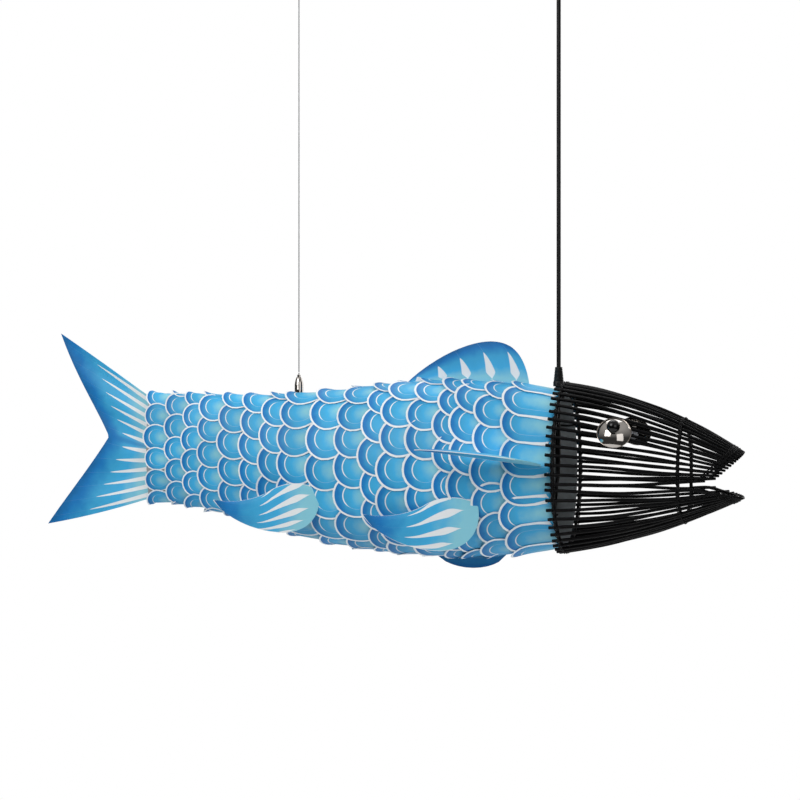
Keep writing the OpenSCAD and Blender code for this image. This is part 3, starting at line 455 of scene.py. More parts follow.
# ------------------------------------------------------------------ materials
class Nodes:
    """A material's node tree with short calls to add and join nodes."""

    def __init__(self, name, rough=0.5, metal=0.0, coat=0.0, colour=(0.5, 0.5, 0.5), gloss=0.5):
        self.made = bpy.data.materials.new(name)
        self.made.use_nodes = True
        self.tree = self.made.node_tree
        self.shader = self.tree.nodes["Principled BSDF"]
        self.shader.inputs["Base Color"].default_value = (*colour, 1)
        self.shader.inputs["Roughness"].default_value = rough
        self.shader.inputs["Metallic"].default_value = metal
        self.shader.inputs["Coat Weight"].default_value = coat
        self.shader.inputs["Specular IOR Level"].default_value = gloss
        self.shader.inputs["Coat Roughness"].default_value = 0.2
        self.made.diffuse_color = (*colour, 1)

    def node(self, kind, **settings):
        """Adds a node. Settings that name an input fill it, by a value or a link, and the rest are options."""
        made = self.tree.nodes.new("ShaderNode" + kind)
        for key, value in settings.items():
            if hasattr(made, key):
                setattr(made, key, value)
        for key, value in settings.items():
            if not hasattr(made, key):
                self.fill(made, key, value)
        return made

    def fill(self, node, key, value):
        """Fills one input, given by its name or as i0, i1 and so on by its place."""
        place = int(key[1:]) if key[0] == "i" and key[1:].isdigit() else key
        socket = node.inputs[place]
        if isinstance(value, bpy.types.NodeSocket):
            self.tree.links.new(value, socket)
        elif isinstance(socket.default_value, (float, int)):
            socket.default_value = value
        else:
            socket.default_value = (*value, 1)[:len(socket.default_value)]

    def math(self, operation, a, b=0.0, c=0.0, clamp=False):
        """One arithmetic node and its result."""
        made = self.node("Math", operation=operation, use_clamp=clamp, i0=a, i1=b, i2=c)
        return made.outputs[0]

    def step(self, value, low, high):
        """0 below low and 1 above high, with a smooth rise between."""
        made = self.node("MapRange", interpolation_type="SMOOTHSTEP", Value=value)
        self.fill(made, "From Min", low)
        self.fill(made, "From Max", high)
        return made.outputs[0]

    def mix(self, share, a, b):
        """Colour a, turning into colour b as share goes from 0 to 1."""
        made = self.node("Mix", data_type="RGBA")
        self.fill(made, "i0", share)
        self.fill(made, "i6", a)
        self.fill(made, "i7", b)
        return made.outputs[2]

    def ramp(self, value, *stops):
        """Colour along a row of (place, colour) stops."""
        made = self.node("ValToRGB", Fac=value)
        ramp = made.color_ramp
        while len(ramp.elements) < len(stops):
            ramp.elements.new(0.5)
        for element, (place, shade) in zip(ramp.elements, stops):
            element.position = place
            element.color = (*shade, 1)
        return made.outputs[0]

    def put(self, key, value):
        """Joins a result to the shader."""
        self.tree.links.new(value, self.shader.inputs[key])

    def grain(self, size, stretch=(1, 1, 1), fine=0.0005, depth=0.00008, worn=0.3):
        """Adds the shared grain group: broad mottling and a fine bump, both in object coordinates."""
        made = self.tree.nodes.new("ShaderNodeGroup")
        made.node_tree = grain_group()
        for key, value in {"Size": size, "Fine": fine, "Depth": depth, "Worn": worn}.items():
            made.inputs[key].default_value = value
        made.inputs["Stretch"].default_value = stretch
        self.put("Normal", made.outputs["Normal"])
        return made.outputs["Mask"]


def grain_group():
    """Node group with a broad noise mask and a fine bumped normal, made once."""
    if "grain" in bpy.data.node_groups:
        return bpy.data.node_groups["grain"]
    group = bpy.data.node_groups.new("grain", "ShaderNodeTree")
    face = group.interface
    for key, kind in {"Size": "Float", "Stretch": "Vector", "Fine": "Float", "Depth": "Float",
                      "Worn": "Float"}.items():
        face.new_socket(key, in_out="INPUT", socket_type="NodeSocket" + kind)
    face.new_socket("Mask", in_out="OUTPUT", socket_type="NodeSocketFloat")
    face.new_socket("Normal", in_out="OUTPUT", socket_type="NodeSocketVector")
    new, link = group.nodes.new, group.links.new
    given, result = new("NodeGroupInput"), new("NodeGroupOutput")
    place, scale = new("ShaderNodeTexCoord"), new("ShaderNodeVectorMath")
    scale.operation = "MULTIPLY"
    link(place.outputs["Object"], scale.inputs[0])
    link(given.outputs["Stretch"], scale.inputs[1])
    masks = []
    for key in ("Size", "Fine"):
        divide, noise = new("ShaderNodeMath"), new("ShaderNodeTexNoise")
        divide.operation = "DIVIDE"
        divide.inputs[0].default_value = 1
        link(given.outputs[key], divide.inputs[1])
        link(scale.outputs[0], noise.inputs["Vector"])
        link(divide.outputs[0], noise.inputs["Scale"])
        noise.inputs["Detail"].default_value = 3
        masks.append(noise.outputs["Fac"])
    bump, spread = new("ShaderNodeBump"), new("ShaderNodeMapRange")
    link(masks[1], bump.inputs["Height"])
    link(given.outputs["Depth"], bump.inputs["Distance"])
    link(given.outputs["Worn"], bump.inputs["Strength"])
    link(masks[0], spread.inputs["Value"])
    spread.inputs["From Min"].default_value = 0.3
    spread.inputs["From Max"].default_value = 0.7
    link(spread.outputs[0], result.inputs["Mask"])
    link(bump.outputs[0], result.inputs["Normal"])
    return group


def finish(name, base, other, rough, size, metal=0.0, coat=0.0, gloss=0.5, **grain):
    """A plain finish: two colours mottled together, and a roughness that varies between two values."""
    made = Nodes(name, metal=metal, coat=coat, colour=base, gloss=gloss)
    mask = made.grain(size, **grain)
    made.put("Base Color", made.mix(mask, base, other))
    wide = made.node("MapRange", Value=mask)
    made.fill(wide, "To Min", rough[0])
    made.fill(wide, "To Max", rough[1])
    made.put("Roughness", wide.outputs[0])
    return made.made


def tinted(shade, factor):
    """A colour made lighter or darker by a factor."""
    return tuple(float(min(1, c * factor)) for c in shade)


def scale_material(look):
    """Printed card. The pattern coordinates are a disc of radius 1 round the scale's middle, with the free edge
    at u = -1. Colours run out from a point towards the base: pale, mid blue, deep blue, then a white rim. The
    tone attribute holds how far the card is darkened towards the belly blue (partly darker print, partly
    painted shade of the underside), then rim width and a chance value."""
    made = Nodes("printed_card_belly_shaded", colour=look.middle, gloss=0.3)
    uv = made.node("UVMap", uv_map="pattern").outputs[0]
    tone = made.node("SeparateXYZ", Vector=made.node("Attribute", attribute_name="tone").outputs["Vector"])
    print_and_shade_level, width, chance = tone.outputs
    radius = made.node("VectorMath", operation="LENGTH", i0=uv).outputs["Value"]
    shifted = made.node("VectorMath", operation="SUBTRACT", i0=uv, i1=(0.42, 0, 0)).outputs[0]
    away = made.node("VectorMath", operation="LENGTH", i0=shifted).outputs["Value"]
    reach = made.math("DIVIDE", away, 1.42)
    mask = made.grain(0.012, fine=0.0011, depth=0.00006, worn=0.25)
    wander = made.math("MULTIPLY_ADD", mask, 0.08, -0.04)
    reach = made.math("ADD", reach, wander)
    print_and_shade_colour = made.ramp(reach, (0.1, look.pale), (0.4, tinted(look.middle, 1.15)), (0.62, look.middle),
                             (0.85, look.deep), (1.0, tinted(look.deep, 0.9)))
    # A thin white arc inside the crescent, widest where it points at the tail
    inner = made.node("VectorMath", operation="SUBTRACT", i0=uv, i1=(0.05, 0, 0)).outputs[0]
    inner = made.node("VectorMath", operation="LENGTH", i0=inner).outputs["Value"]
    side = made.math("MULTIPLY", made.node("SeparateXYZ", Vector=uv).outputs[0], -1.0)
    line = made.math("MULTIPLY", 0.026, made.step(side, 0.18, 0.5))
    arc = made.math("SUBTRACT", line, made.math("ABSOLUTE", made.math("SUBTRACT", inner, 0.58)))
    print_and_shade_colour = made.mix(made.step(arc, -0.012, 0.012), print_and_shade_colour, look.outline)
    # Low on the belly the print and its white rim are mixed towards the belly blue: partly darker print, partly
    # painted shade of the underside
    belly_print_and_shade = made.math("SUBTRACT", 1.0, print_and_shade_level, clamp=True)
    print_and_shade_colour = made.mix(belly_print_and_shade, print_and_shade_colour, look.shade)
    edge = made.math("SUBTRACT", 1.0, width)
    rim = made.step(made.math("SUBTRACT", radius, edge), -0.01, 0.01)
    white = made.mix(made.math("MULTIPLY", belly_print_and_shade, 0.4), look.outline, tinted(look.middle, 1.4))
    print_and_shade_colour = made.mix(rim, print_and_shade_colour, white)
    tint = made.node("HueSaturation", Color=print_and_shade_colour)
    made.fill(tint, "Value", made.math("MULTIPLY_ADD", chance, 0.16, 0.92))
    made.put("Base Color", tint.outputs[0])
    return made.made


def fin_material(name, look, rays, width, reach, underside_print_and_shade=0.0, crease_shade_line=False, root=0.06, lean=0.0, start=0.0,
                 rim=True):
    """Printed card of a fin. u runs from the root at 0 to the free edge at 1, and v across. White rays run from
    start to reach along u, widest at their foot and rounded at the end, and lean across v by a given share;
    the blue deepens towards the free edge."""
    made = Nodes(name, colour=look.middle, gloss=0.3)
    parts = made.node("SeparateXYZ", Vector=made.node("UVMap", uv_map="pattern").outputs[0])
    u, v = parts.outputs[0], parts.outputs[1]
    mask = made.grain(0.02, fine=0.0012, depth=0.00006, worn=0.25)
    run = made.math("MULTIPLY_ADD", mask, 0.1, made.math("SUBTRACT", u, 0.05))
    shade = made.ramp(run, (root, look.pale), (0.36, tinted(look.middle, 1.15)), (0.62, look.middle),
                      (0.85, look.deep), (1.0, tinted(look.deep, 0.7)))
    # The fin is mixed towards the belly blue by a given share: partly darker print, partly painted shade of the
    # underside
    if underside_print_and_shade:
        shade = made.mix(underside_print_and_shade, shade, look.shade)
    if rays:
        place = made.math("MULTIPLY_ADD", u, lean, v)
        wave = made.math("PINGPONG", made.math("MULTIPLY", place, float(rays)), 0.5)
        part = made.math("DIVIDE", made.math("SUBTRACT", u, start), reach - start)
        tip = made.math("SQRT", made.math("SUBTRACT", 1.0, made.math("MULTIPLY", part, part), clamp=True))
        foot = made.step(part, -0.02, 0.3)
        slim = made.math("MULTIPLY_ADD", part, -0.55, 1.0)
        taper = made.math("MULTIPLY", made.math("MULTIPLY", tip, slim), made.math("MULTIPLY", foot, width))
        near = made.math("SUBTRACT", taper, made.math("SUBTRACT", 0.5, wave))
        shade = made.mix(made.step(near, -0.01, 0.03), shade, look.outline)
    if rim:
        edge = made.math("MINIMUM", made.math("MINIMUM", v, made.math("SUBTRACT", 1.0, v)),
                         made.math("SUBTRACT", 1.0, u))
        shade = made.mix(made.math("SUBTRACT", 1.0, made.step(edge, 0.006, 0.016)), shade, look.outline)
    # A deep blue line along the tail's middle fold is painted shade of the crease
    if crease_shade_line:
        fold = made.math("ABSOLUTE", made.math("SUBTRACT", v, 0.5))
        shade = made.mix(made.math("MULTIPLY", made.math("SUBTRACT", 1.0, made.step(fold, 0.004, 0.03)), 0.6),
                         shade, look.deep)
    made.put("Base Color", shade)
    return made.made


def make_materials(look):
    """Every finish, by name."""
    metal = dict(metal=1.0, fine=0.0004, depth=0.00002, worn=0.2)
    moulded = dict(fine=0.0006, depth=0.00004, worn=0.2)
    made = {
        "card": scale_material(look),
        # The tail's card carries a painted crease shade along its middle
        "tail": fin_material("tail_card", look, 12, 0.32, 0.62, crease_shade_line=True, rim=False, start=-0.2, root=0.1),
        "dorsal": fin_material("dorsal_card", look, 5, 0.24, 0.72, start=0.06, rim=False, root=0.12),
        # The ventral fin under the belly is darkened towards the belly blue, partly as darker print and partly
        # as painted shade
        "ventral": fin_material("ventral_card", look, 0, 0, 1, underside_print_and_shade=0.7, rim=False),
        "pelvic_front": fin_material("pelvic_card", look, 3.4, 0.3, 0.62, lean=-0.5, start=0.12, root=0.12),
        "pelvic_rear": fin_material("rear_pelvic_card", look, 4.2, 0.34, 0.56, lean=-0.8, start=0.08,
                                    root=0.12),
        "pectoral": fin_material("pectoral_card", look, 0, 0, 1, root=0.2),
        # The lining card is darkened to half to most of its own colour as painted shade of the unlit inside;
        # the mottle between the two tints is the card's own
        "lining": finish("lining_card", tinted(look.lining, 0.5), tinted(look.lining, 0.85), (0.6, 0.75),
                         0.03, fine=0.001, depth=0.00008),
        "rattan": finish("lacquered_rattan", look.rattan, tinted(look.rattan, 1.8), (0.3, 0.45), 0.006,
                         gloss=0.1, stretch=(0.12, 1, 1), fine=0.0012, depth=0.0002, worn=0.5),
        "lashing": finish("waxed_lashing", look.rattan, tinted(look.rattan, 2.0), (0.4, 0.55), 0.004,
                          gloss=0.2, fine=0.0005, depth=0.00015, worn=0.5),
        "wire": finish("enamelled_wire", look.wire, tinted(look.wire, 1.9), (0.28, 0.42), 0.015,
                       gloss=0.2, fine=0.0008, depth=0.00004),
        "cord": finish("cord_sheath", look.cord, tinted(look.cord, 1.7), (0.34, 0.44), 0.02, gloss=0.25,
                       **moulded),
        "gland": finish("moulded_black", look.cord, tinted(look.cord, 1.6), (0.4, 0.5), 0.01, gloss=0.3,
                        **moulded),
        "rope": finish("steel_strand", tinted(look.steel, 0.62), tinted(look.steel, 0.4), (0.3, 0.42), 0.004,
                       **metal),
        "steel": finish("zinc_plate", look.steel, tinted(look.steel, 0.8), (0.3, 0.45), 0.01, **metal),
        "chrome": finish("chrome_plate", look.chrome, tinted(look.chrome, 0.93), (0.05, 0.1), 0.02, **metal),
        "paint": finish("canopy_paint", look.wire, tinted(look.wire, 1.5), (0.35, 0.48), 0.02, coat=0.15,
                        **moulded),
        "pupil": finish("pupil_gloss", tinted(look.wire, 0.5), tinted(look.wire, 0.7), (0.05, 0.09), 0.01,
                        gloss=0.4, fine=0.002, depth=0.00001),
        "holder": finish("glazed_holder", look.porcelain, tinted(look.porcelain, 0.92), (0.22, 0.32), 0.015,
                         coat=0.4, **moulded),
        "lead": finish("lead_sleeve", look.copper_lead, tinted(look.copper_lead, 0.7), (0.4, 0.5), 0.01,
                       **moulded),
    }
    frosted = Nodes("frosted_glass", rough=0.35, coat=0.2, colour=(0.9, 0.9, 0.88))
    mask = frosted.grain(0.02, fine=0.0006, depth=0.00004, worn=0.3)
    frosted.put("Base Color", frosted.mix(mask, (0.92, 0.92, 0.9), (0.85, 0.85, 0.83)))
    frosted.shader.inputs["Subsurface Weight"].default_value = 0.3
    frosted.shader.inputs["Subsurface Radius"].default_value = (0.01, 0.01, 0.01)
    made["bulb"] = frosted.made
    return made


NODE_FINISH = {
    "ceiling_bracket": "steel", "canopy": "paint", "canopy_screws": "paint", "terminal_block": "holder",
    "supply_leads": "lead", "swivel_housing": "paint", "front_swivel_ring": "steel", "cord_grip": "gland",
    "anchor_base": "steel", "anchor_cap": "steel", "rear_swivel_ring": "steel", "cable_stop": "steel",
    "gland_nut": "gland", "gland_bracket": "wire", "gripper_plunger": "chrome", "gripper_pin": "chrome",
    "cable_tail": "rope", "eye_studs": "steel", "body_hoops": "wire", "stringers": "wire",
    "front_lining": "lining", "rear_lining": "lining", "front_cross_bar": "steel", "rear_cross_bar": "steel",
    "front_lampholder": "holder", "rear_lampholder": "holder", "front_bulb": "bulb", "rear_bulb": "bulb",
    "cable_gripper": "chrome",
}


# ------------------------------------------------------------------ pieces
def make_cords(paint):
    """The sheathed power cord, the stranded steel cable and the sheathed lead inside the fish."""
    cord, radius = Solid(), CORD_D / 2
    route = np.array([[0, 0, z] for z in CORD_Z], float)
    add_tube(cord, smooth_path(route, 6), radius, 24, up=(0, 1, 0))
    piece = cord.build("sheathed_cord", [paint["cord"]], "front_line")
    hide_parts("power_cord")
    cable = Solid()
    route = np.array([[REAR_X, 0, z] for z in CABLE_Z], float)
    add_tube(cable, smooth_path(route, 30), CABLE_D / 2, 35, up=(0, 1, 0), lobes=7, lobe_depth=0.24,
             twist=2 * np.pi / 11)
    piece = cable.build("stranded_cable", [paint["rope"]], "rear_line", sharp=180)
    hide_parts("steel_cable")
    lead = Solid()
    for way in (LEAD_ROUTE, BACK_LEAD_ROUTE):
        add_tube(lead, smooth_path(way, 5), LEAD_D / 2, 12, up=(0.05, 1, 0.02))
    piece = lead.build("inner_lead", [paint["cord"]])
    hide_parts("internal_lead")


def add_disc(solid, place, out, thickness, uv, tone):
    """A round card: a middle point, then rings of points outwards, with an underside and a rim."""
    rings, around = place.shape[0] - 1, place.shape[1]
    top = np.concatenate([place[0, :1], place[1:].reshape(-1, 3)])
    normal = np.concatenate([out[0, :1], out[1:].reshape(-1, 3)])
    flat_uv = np.concatenate([uv[0, :1], uv[1:].reshape(-1, 2)])
    under = len(top)
    k = np.arange(around)
    after = (k + 1) % around
    fan = np.stack([0 * k, 1 + k, 1 + after], -1)
    quads = grid_faces(rings, around, wrap=True, start=1)
    last = 1 + (rings - 1) * around
    rim = np.stack([last + after + under, last + k + under, last + k, last + after], -1)
    faces = [fan, quads, fan[:, ::-1] + under, quads[:, ::-1] + under, rim]
    a, b = top[1 + around // 4] - top[0], top[1 + around // 2] - top[0]
    if np.dot(np.cross(a, b), normal[0]) < 0:
        faces = [f[:, ::-1] for f in faces]
    solid.add(np.concatenate([top, top - normal * thickness]), faces,
              np.concatenate([flat_uv] * 2), tone)


def make_scales(size, paint):
    """Rows of round cards laid like roof tiles. Each card is a disc drawn out towards the head. A point's
    height over the body is a base, a slope that lifts the free edge over the row behind, a tilt across that
    lays it over its neighbour, and a crown and curl that lift the free edge off the body."""
    chance = np.random.default_rng(size.seed)
    card, rise, tilt = size.card / MM, size.row_rise / MM, size.side_rise / MM
    crown, curl = size.crown / MM, size.curl / MM
    bands = [Solid() for _ in range(2)]
    rings = np.array([0, 0.4, 0.75, 1.0])[:, None]
    turn = np.linspace(0, 2 * np.pi, 22, endpoint=False)[None, :]
    u, v = rings * np.cos(turn), rings * np.sin(turn)
    for row, edge in enumerate(ROW_EDGES):
        share = np.clip((edge - ROW_EDGES[0]) / 250, 0, 1)
        pitch = (size.tail_pitch + (size.body_pitch - size.tail_pitch) * share) / MM
        radius = pitch * (0.6 + 0.1 * share)
        head_row = row == len(ROW_EDGES) - 1
        row_gap = 45.0 if head_row else ROW_EDGES[row + 1] - edge
        round_trip = girth(edge + radius)[1][-1]
        count = int(round(round_trip / pitch))
        step = round_trip / count
        front = CARD_FRONT_X - 0.5 - (edge + radius) if head_row else 1.35 * radius
        front = min(front, CARD_FRONT_X - 0.5 - (edge + radius))
        for k in range(count):
            jitter = chance.uniform(-1, 1, 5)
            middle = edge + radius + 3.5 * jitter[0] * share
            start = (k + 0.5 * (row % 2)) * step + 2.6 * jitter[1] * (0.3 + 0.7 * share)
            r = radius * (1 + 0.07 * jitter[2])
            ahead = np.where(u > 0, u * (front - (middle - edge - radius)), u * r)
            across = v * r * (1 - 0.1 * np.clip(u, 0, 1))
            print_u, print_v = u + 0 * v, v + 0 * u
            if head_row:
                # The head's own row stays wide up to the hoop, and its print runs on past it
                fill = np.where(u > 0, rings / np.maximum(np.abs(np.cos(turn)), np.abs(np.sin(turn))), rings)
                square_u, square_v = fill * np.cos(turn), fill * np.sin(turn)
                ahead = np.where(u > 0, square_u * (CARD_FRONT_X - 0.6 - middle), ahead)
                wave = 2.5 * np.sin(3.2 * square_u + k) * (u > 0) * square_u
                across = np.where(u > 0, square_v, v) * r + wave
                print_u, print_v = np.where(u > 0, 0.45 * square_u, u), np.where(u > 0, square_v, v)
            x = np.minimum(middle + ahead, CARD_FRONT_X - 0.4)
            angle = turn_at(middle, start + across)
            # Which way the overlap runs: up, down at the tail and under the chin
            facing = np.cos(turn_at(middle, start))
            height = np.sin(turn_at(middle, start))
            downward = -np.sign(facing) if abs(facing) > 0.05 else 1.0
            over = downward * (-1 if row < 3 or (edge > -150 and height < -0.2) else 1)
            free = np.clip(-(x - middle) / r, -0.2, 1)
            lift = (0.4 - rise * (x - edge) / row_gap + tilt * over * v * 0.5
                    + (crown * v * v + curl * (1 + 0.8 * jitter[3]))
                    * np.clip((free - 0.2) / 0.8, 0, 1) ** 1.5)
            lift = np.clip(lift, -4.7, 6.0)
            place, out = shell(x, angle, lift)
            # Low on the belly the scales darken towards the belly blue, partly as darker print and partly as
            # painted shade of the underside; higher up they keep their full colour, give or take a little
            print_and_shade_level = float(np.clip(1.0 + 0.5 * min(height + 0.35, 0) + 0.05 * jitter[4], 0.3, 1))
            width = (0.1 - 0.01 * share) * (1.15 if edge > -260 else 1)
            tone = (print_and_shade_level, width, 0.5 + 0.5 * jitter[4])
            add_disc(bands[row % 2], place, out, card, np.stack([print_u, print_v], -1), tone)
    nodes = ["scale_band_%d" % (i + 1) for i in range(6)]
    for k, band in enumerate(bands):
        piece = band.build("card_scales_%d" % (k + 1), [paint["card"]])
        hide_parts(*nodes[k::2])


def bezier(a, b, c, d, steps):
    """Cubic curve from a to d with handles b and c, its last point left out."""
    t = np.linspace(0, 1, steps, endpoint=False)[:, None]
    a, b, c, d = (np.asarray(p, float) for p in (a, b, c, d))
    return a * (1 - t) ** 3 + 3 * b * t * (1 - t) ** 2 + 3 * c * t * t * (1 - t) + d * t ** 3


def chain(*corners):
    """Cubic curves one after another: a start point, then two handles and an end point for each curve."""
    curves = [bezier(*corners[3 * k:3 * k + 4], 12) for k in range((len(corners) - 1) // 3)]
    return np.concatenate(curves + [[np.asarray(corners[-1], float)]])


def resample(line, count):
    """Points evenly spaced along a line."""
    walked = np.concatenate([[0], np.cumsum(np.linalg.norm(np.diff(line, axis=0), axis=1))])
    at = np.linspace(0, walked[-1], count)
    return np.stack([np.interp(at, walked, line[:, i]) for i in range(line.shape[1])], -1)


def patch(root, tip, top, bottom, rows, columns):
    """A Coons patch: the sheet ruled between root and tip, plus the one ruled between top and bottom, less the
    four-cornered one they share. Rows run from root (0) to tip (1) and columns from top (0) to bottom (1)."""
    root, tip = resample(root, columns)[None], resample(tip, columns)[None]
    top, bottom = resample(top, rows)[:, None], resample(bottom, rows)[:, None]
    u = np.linspace(0, 1, rows)[:, None, None]
    v = np.linspace(0, 1, columns)[None, :, None]
    corners = ((1 - u) * (1 - v) * root[:, :1] + (1 - u) * v * root[:, -1:]
               + u * (1 - v) * tip[:, :1] + u * v * tip[:, -1:])
    flat = (1 - u) * root + u * tip + (1 - v) * top + v * bottom - corners
    return flat, np.stack(np.broadcast_arrays(u[..., 0], v[..., 0]), -1)


def upright(flat, bend):
    """Stands a flat sheet of (x, z) points in the fish's middle plane, bent sideways by a given distance."""
    return np.stack([flat[..., 0], bend, flat[..., 1]], -1)


def card_normals(place):
    """Unit normals of a grid of points, from the slopes along its rows and columns."""
    a, b = np.gradient(place, axis=0), np.gradient(place, axis=1)
    out = np.cross(a, b)
    return out / np.maximum(np.linalg.norm(out, axis=-1, keepdims=True), 1e-9)


def make_fin(name, node, place, uv, material, thickness):
    """A fin card round a middle sheet of points."""
    out = card_normals(place)
    fin = Solid()
    add_card(fin, place + out * thickness / 2, out, thickness, uv)
    piece = fin.build(name, [material], sharp=50)
    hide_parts(node)


def make_upright_fins(size, paint):
    """Tail, dorsal and ventral fins, each a patch between its root on the body and its free edges."""
    t = size.fin_card / MM
    x, z = TAIL_ROOT_X, float(mid_z(np.array(TAIL_ROOT_X)))
    upper_tip, notch, lower_tip = [x - 155, z + 180], [x - 71, z + 17], [x - 178, z - 122]
    root = np.array([[x, z + TAIL_HALF_H - 8], [x, z - TAIL_HALF_H + 8]])
    top = chain(root[0], [x - 20, z + 92], [x - 70, z + 126], upper_tip)
    bottom = chain(root[1], [x - 44, z - 92], [x - 100, z - 108], lower_tip)
    trailing = chain(upper_tip, [x - 128, z + 110], [x - 92, z + 62], notch,
                     [x - 100, z - 26], [x - 142, z - 74], lower_tip)
    flat, uv = patch(root, trailing, top, bottom, 32, 61)
    wave = 2.2 * np.sin(np.pi * uv[..., 0]) * np.sin(6 * np.pi * uv[..., 1])
    make_fin("tail_card", "tail_fin", upright(flat, wave), uv, paint["tail"], t)

    front, back = -44.0, -233.0
    ends = np.array([front, back])
    crest = mid_z(ends) + half_h(ends)
    z = float(mid_z(np.array(-138.5)) + half_h(np.array(-138.5)))
    along_back = np.linspace(front, back, 24)
    root = np.stack([along_back, mid_z(along_back) + half_h(along_back) - 3], -1)
    edge = chain([front, crest[0] - 3], [front - 6, z + 31], [front - 22, z + 56], [front - 60, z + 56],
                 [front - 100, z + 56], [back + 28, z + 23], [back, crest[1] - 3])
    lead, trail = edge[:9], edge[8:]
    flat, uv = patch(root, trail, lead, np.array([root[-1] + [3, 0], trail[-1]]), 24, 41)
    ripple = 1.2 * np.sin(3 * np.pi * uv[..., 1]) * uv[..., 0]
    make_fin("dorsal_card", "dorsal_fin", upright(flat, ripple), uv, paint["dorsal"], t)

    front, back = -78.0, -188.0
    under = np.linspace(front, back, 20)
    root = np.stack([under, mid_z(under) - half_h(under) + 3], -1)
    low = float(mid_z(np.array(-133.0)) - half_h(np.array(-133.0))) - 17
    edge = chain(root[0], [front - 18, low - 6], [back + 26, low - 6], root[-1])
    flat, uv = patch(root, edge[2:-2], np.stack([root[0], edge[2]]), np.stack([root[-1], edge[-3]]), 8, 30)
    make_fin("ventral_card", "ventral_fin", upright(flat, 0 * flat[..., 0]), uv, paint["ventral"], t)


def turned(points, axis, degrees):
    """Points turned about one of the three axes."""
    c, s = np.cos(np.radians(degrees)), np.sin(np.radians(degrees))
    a, b = (axis + 1) % 3, (axis + 2) % 3
    moved = points.copy()
    moved[..., a] = points[..., a] * c - points[..., b] * s
    moved[..., b] = points[..., a] * s + points[..., b] * c
    return moved


def leaf(length, depth, rise, rows=28, columns=25):
    """A leaf in the (x, y) plane with its root at the origin and its tip at -length, as a patch from a short
    root line to a short line at the tip."""
    upper = chain([0, 0], [-0.06 * length, rise], [-0.3 * length, 1.5 * rise], [-0.48 * length, -0.1 * rise],
                  [-0.62 * length, -0.9 * rise], [-0.8 * length, -1.4 * rise], [-length, -0.9 * rise])
    lower = chain([0, 0], [0.03 * length, -0.5 * depth], [-0.08 * length, -0.96 * depth],
                  [-0.33 * length, -depth], [-0.64 * length, -depth], [-0.9 * length, -0.6 * depth],
                  [-length, -0.9 * rise])
    upper, lower = resample(upper, 90), resample(lower, 90)
    root = np.concatenate([upper[3::-1], lower[1:30]])
    tip = np.concatenate([upper[86:], lower[:80:-1]])
    return patch(root, tip, upper[3:87], lower[29:81], rows, columns)


def side_y(x, z):
    """Half width of the body at a point of its side."""
    x = np.array(float(x))
    return float(half_w(x) * np.sqrt(1 - ((z - mid_z(x)) / half_h(x)) ** 2))


def make_paired_fins(size, paint):
    """Pectoral and pelvic fins: leaf patches, lightly cupped, turned to the same places as the frame's."""
    t = size.fin_card / MM
    for side, word in ((1, "left"), (-1, "right")):
        z = float(mid_z(np.array(-5.0))) + 7
        flat, uv = leaf(182, 74, 6)
        cup = 5 * np.sin(np.pi * uv[..., 1]) * uv[..., 0] * (1 - uv[..., 0]) * 4
        place = np.stack([flat[..., 0], (-1 if side > 0 else 1) * flat[..., 1], cup], -1)
        place = turned(turned(place, 0, side * 6), 1, 7)
        place = turned(place, 2, -side * 12) + [-5, side * (side_y(-5, z) - 1.8), z]
        make_fin(word + "_pectoral_card", word + "_pectoral_fin", place, uv, paint["pectoral"], t)
        for spot, x, drop, length, depth, out in (("front", -98, 52, 172, 66, -0.9),
                                                  ("rear", -349, 36, 163.4, 62, -3.5)):
            z = float(mid_z(np.array(float(x)))) - drop
            flat, uv = leaf(length, depth, 14)
            cup = -side * (0.5 * t + 3.5 * np.sin(np.pi * uv[..., 1]) * np.sin(np.pi * uv[..., 0]))
            place = turned(np.stack([flat[..., 0], flat[..., 1], cup], -1), 0, 90 - side * 8)
            place = turned(place, 2, -side * 7) + [x, side * (side_y(x, z) + out), z]
            make_fin("%s_%s_pelvic_card" % (word, spot), "%s_%s_pelvic_fin" % (word, spot), place, uv,
                     paint["pelvic_" + spot], t)


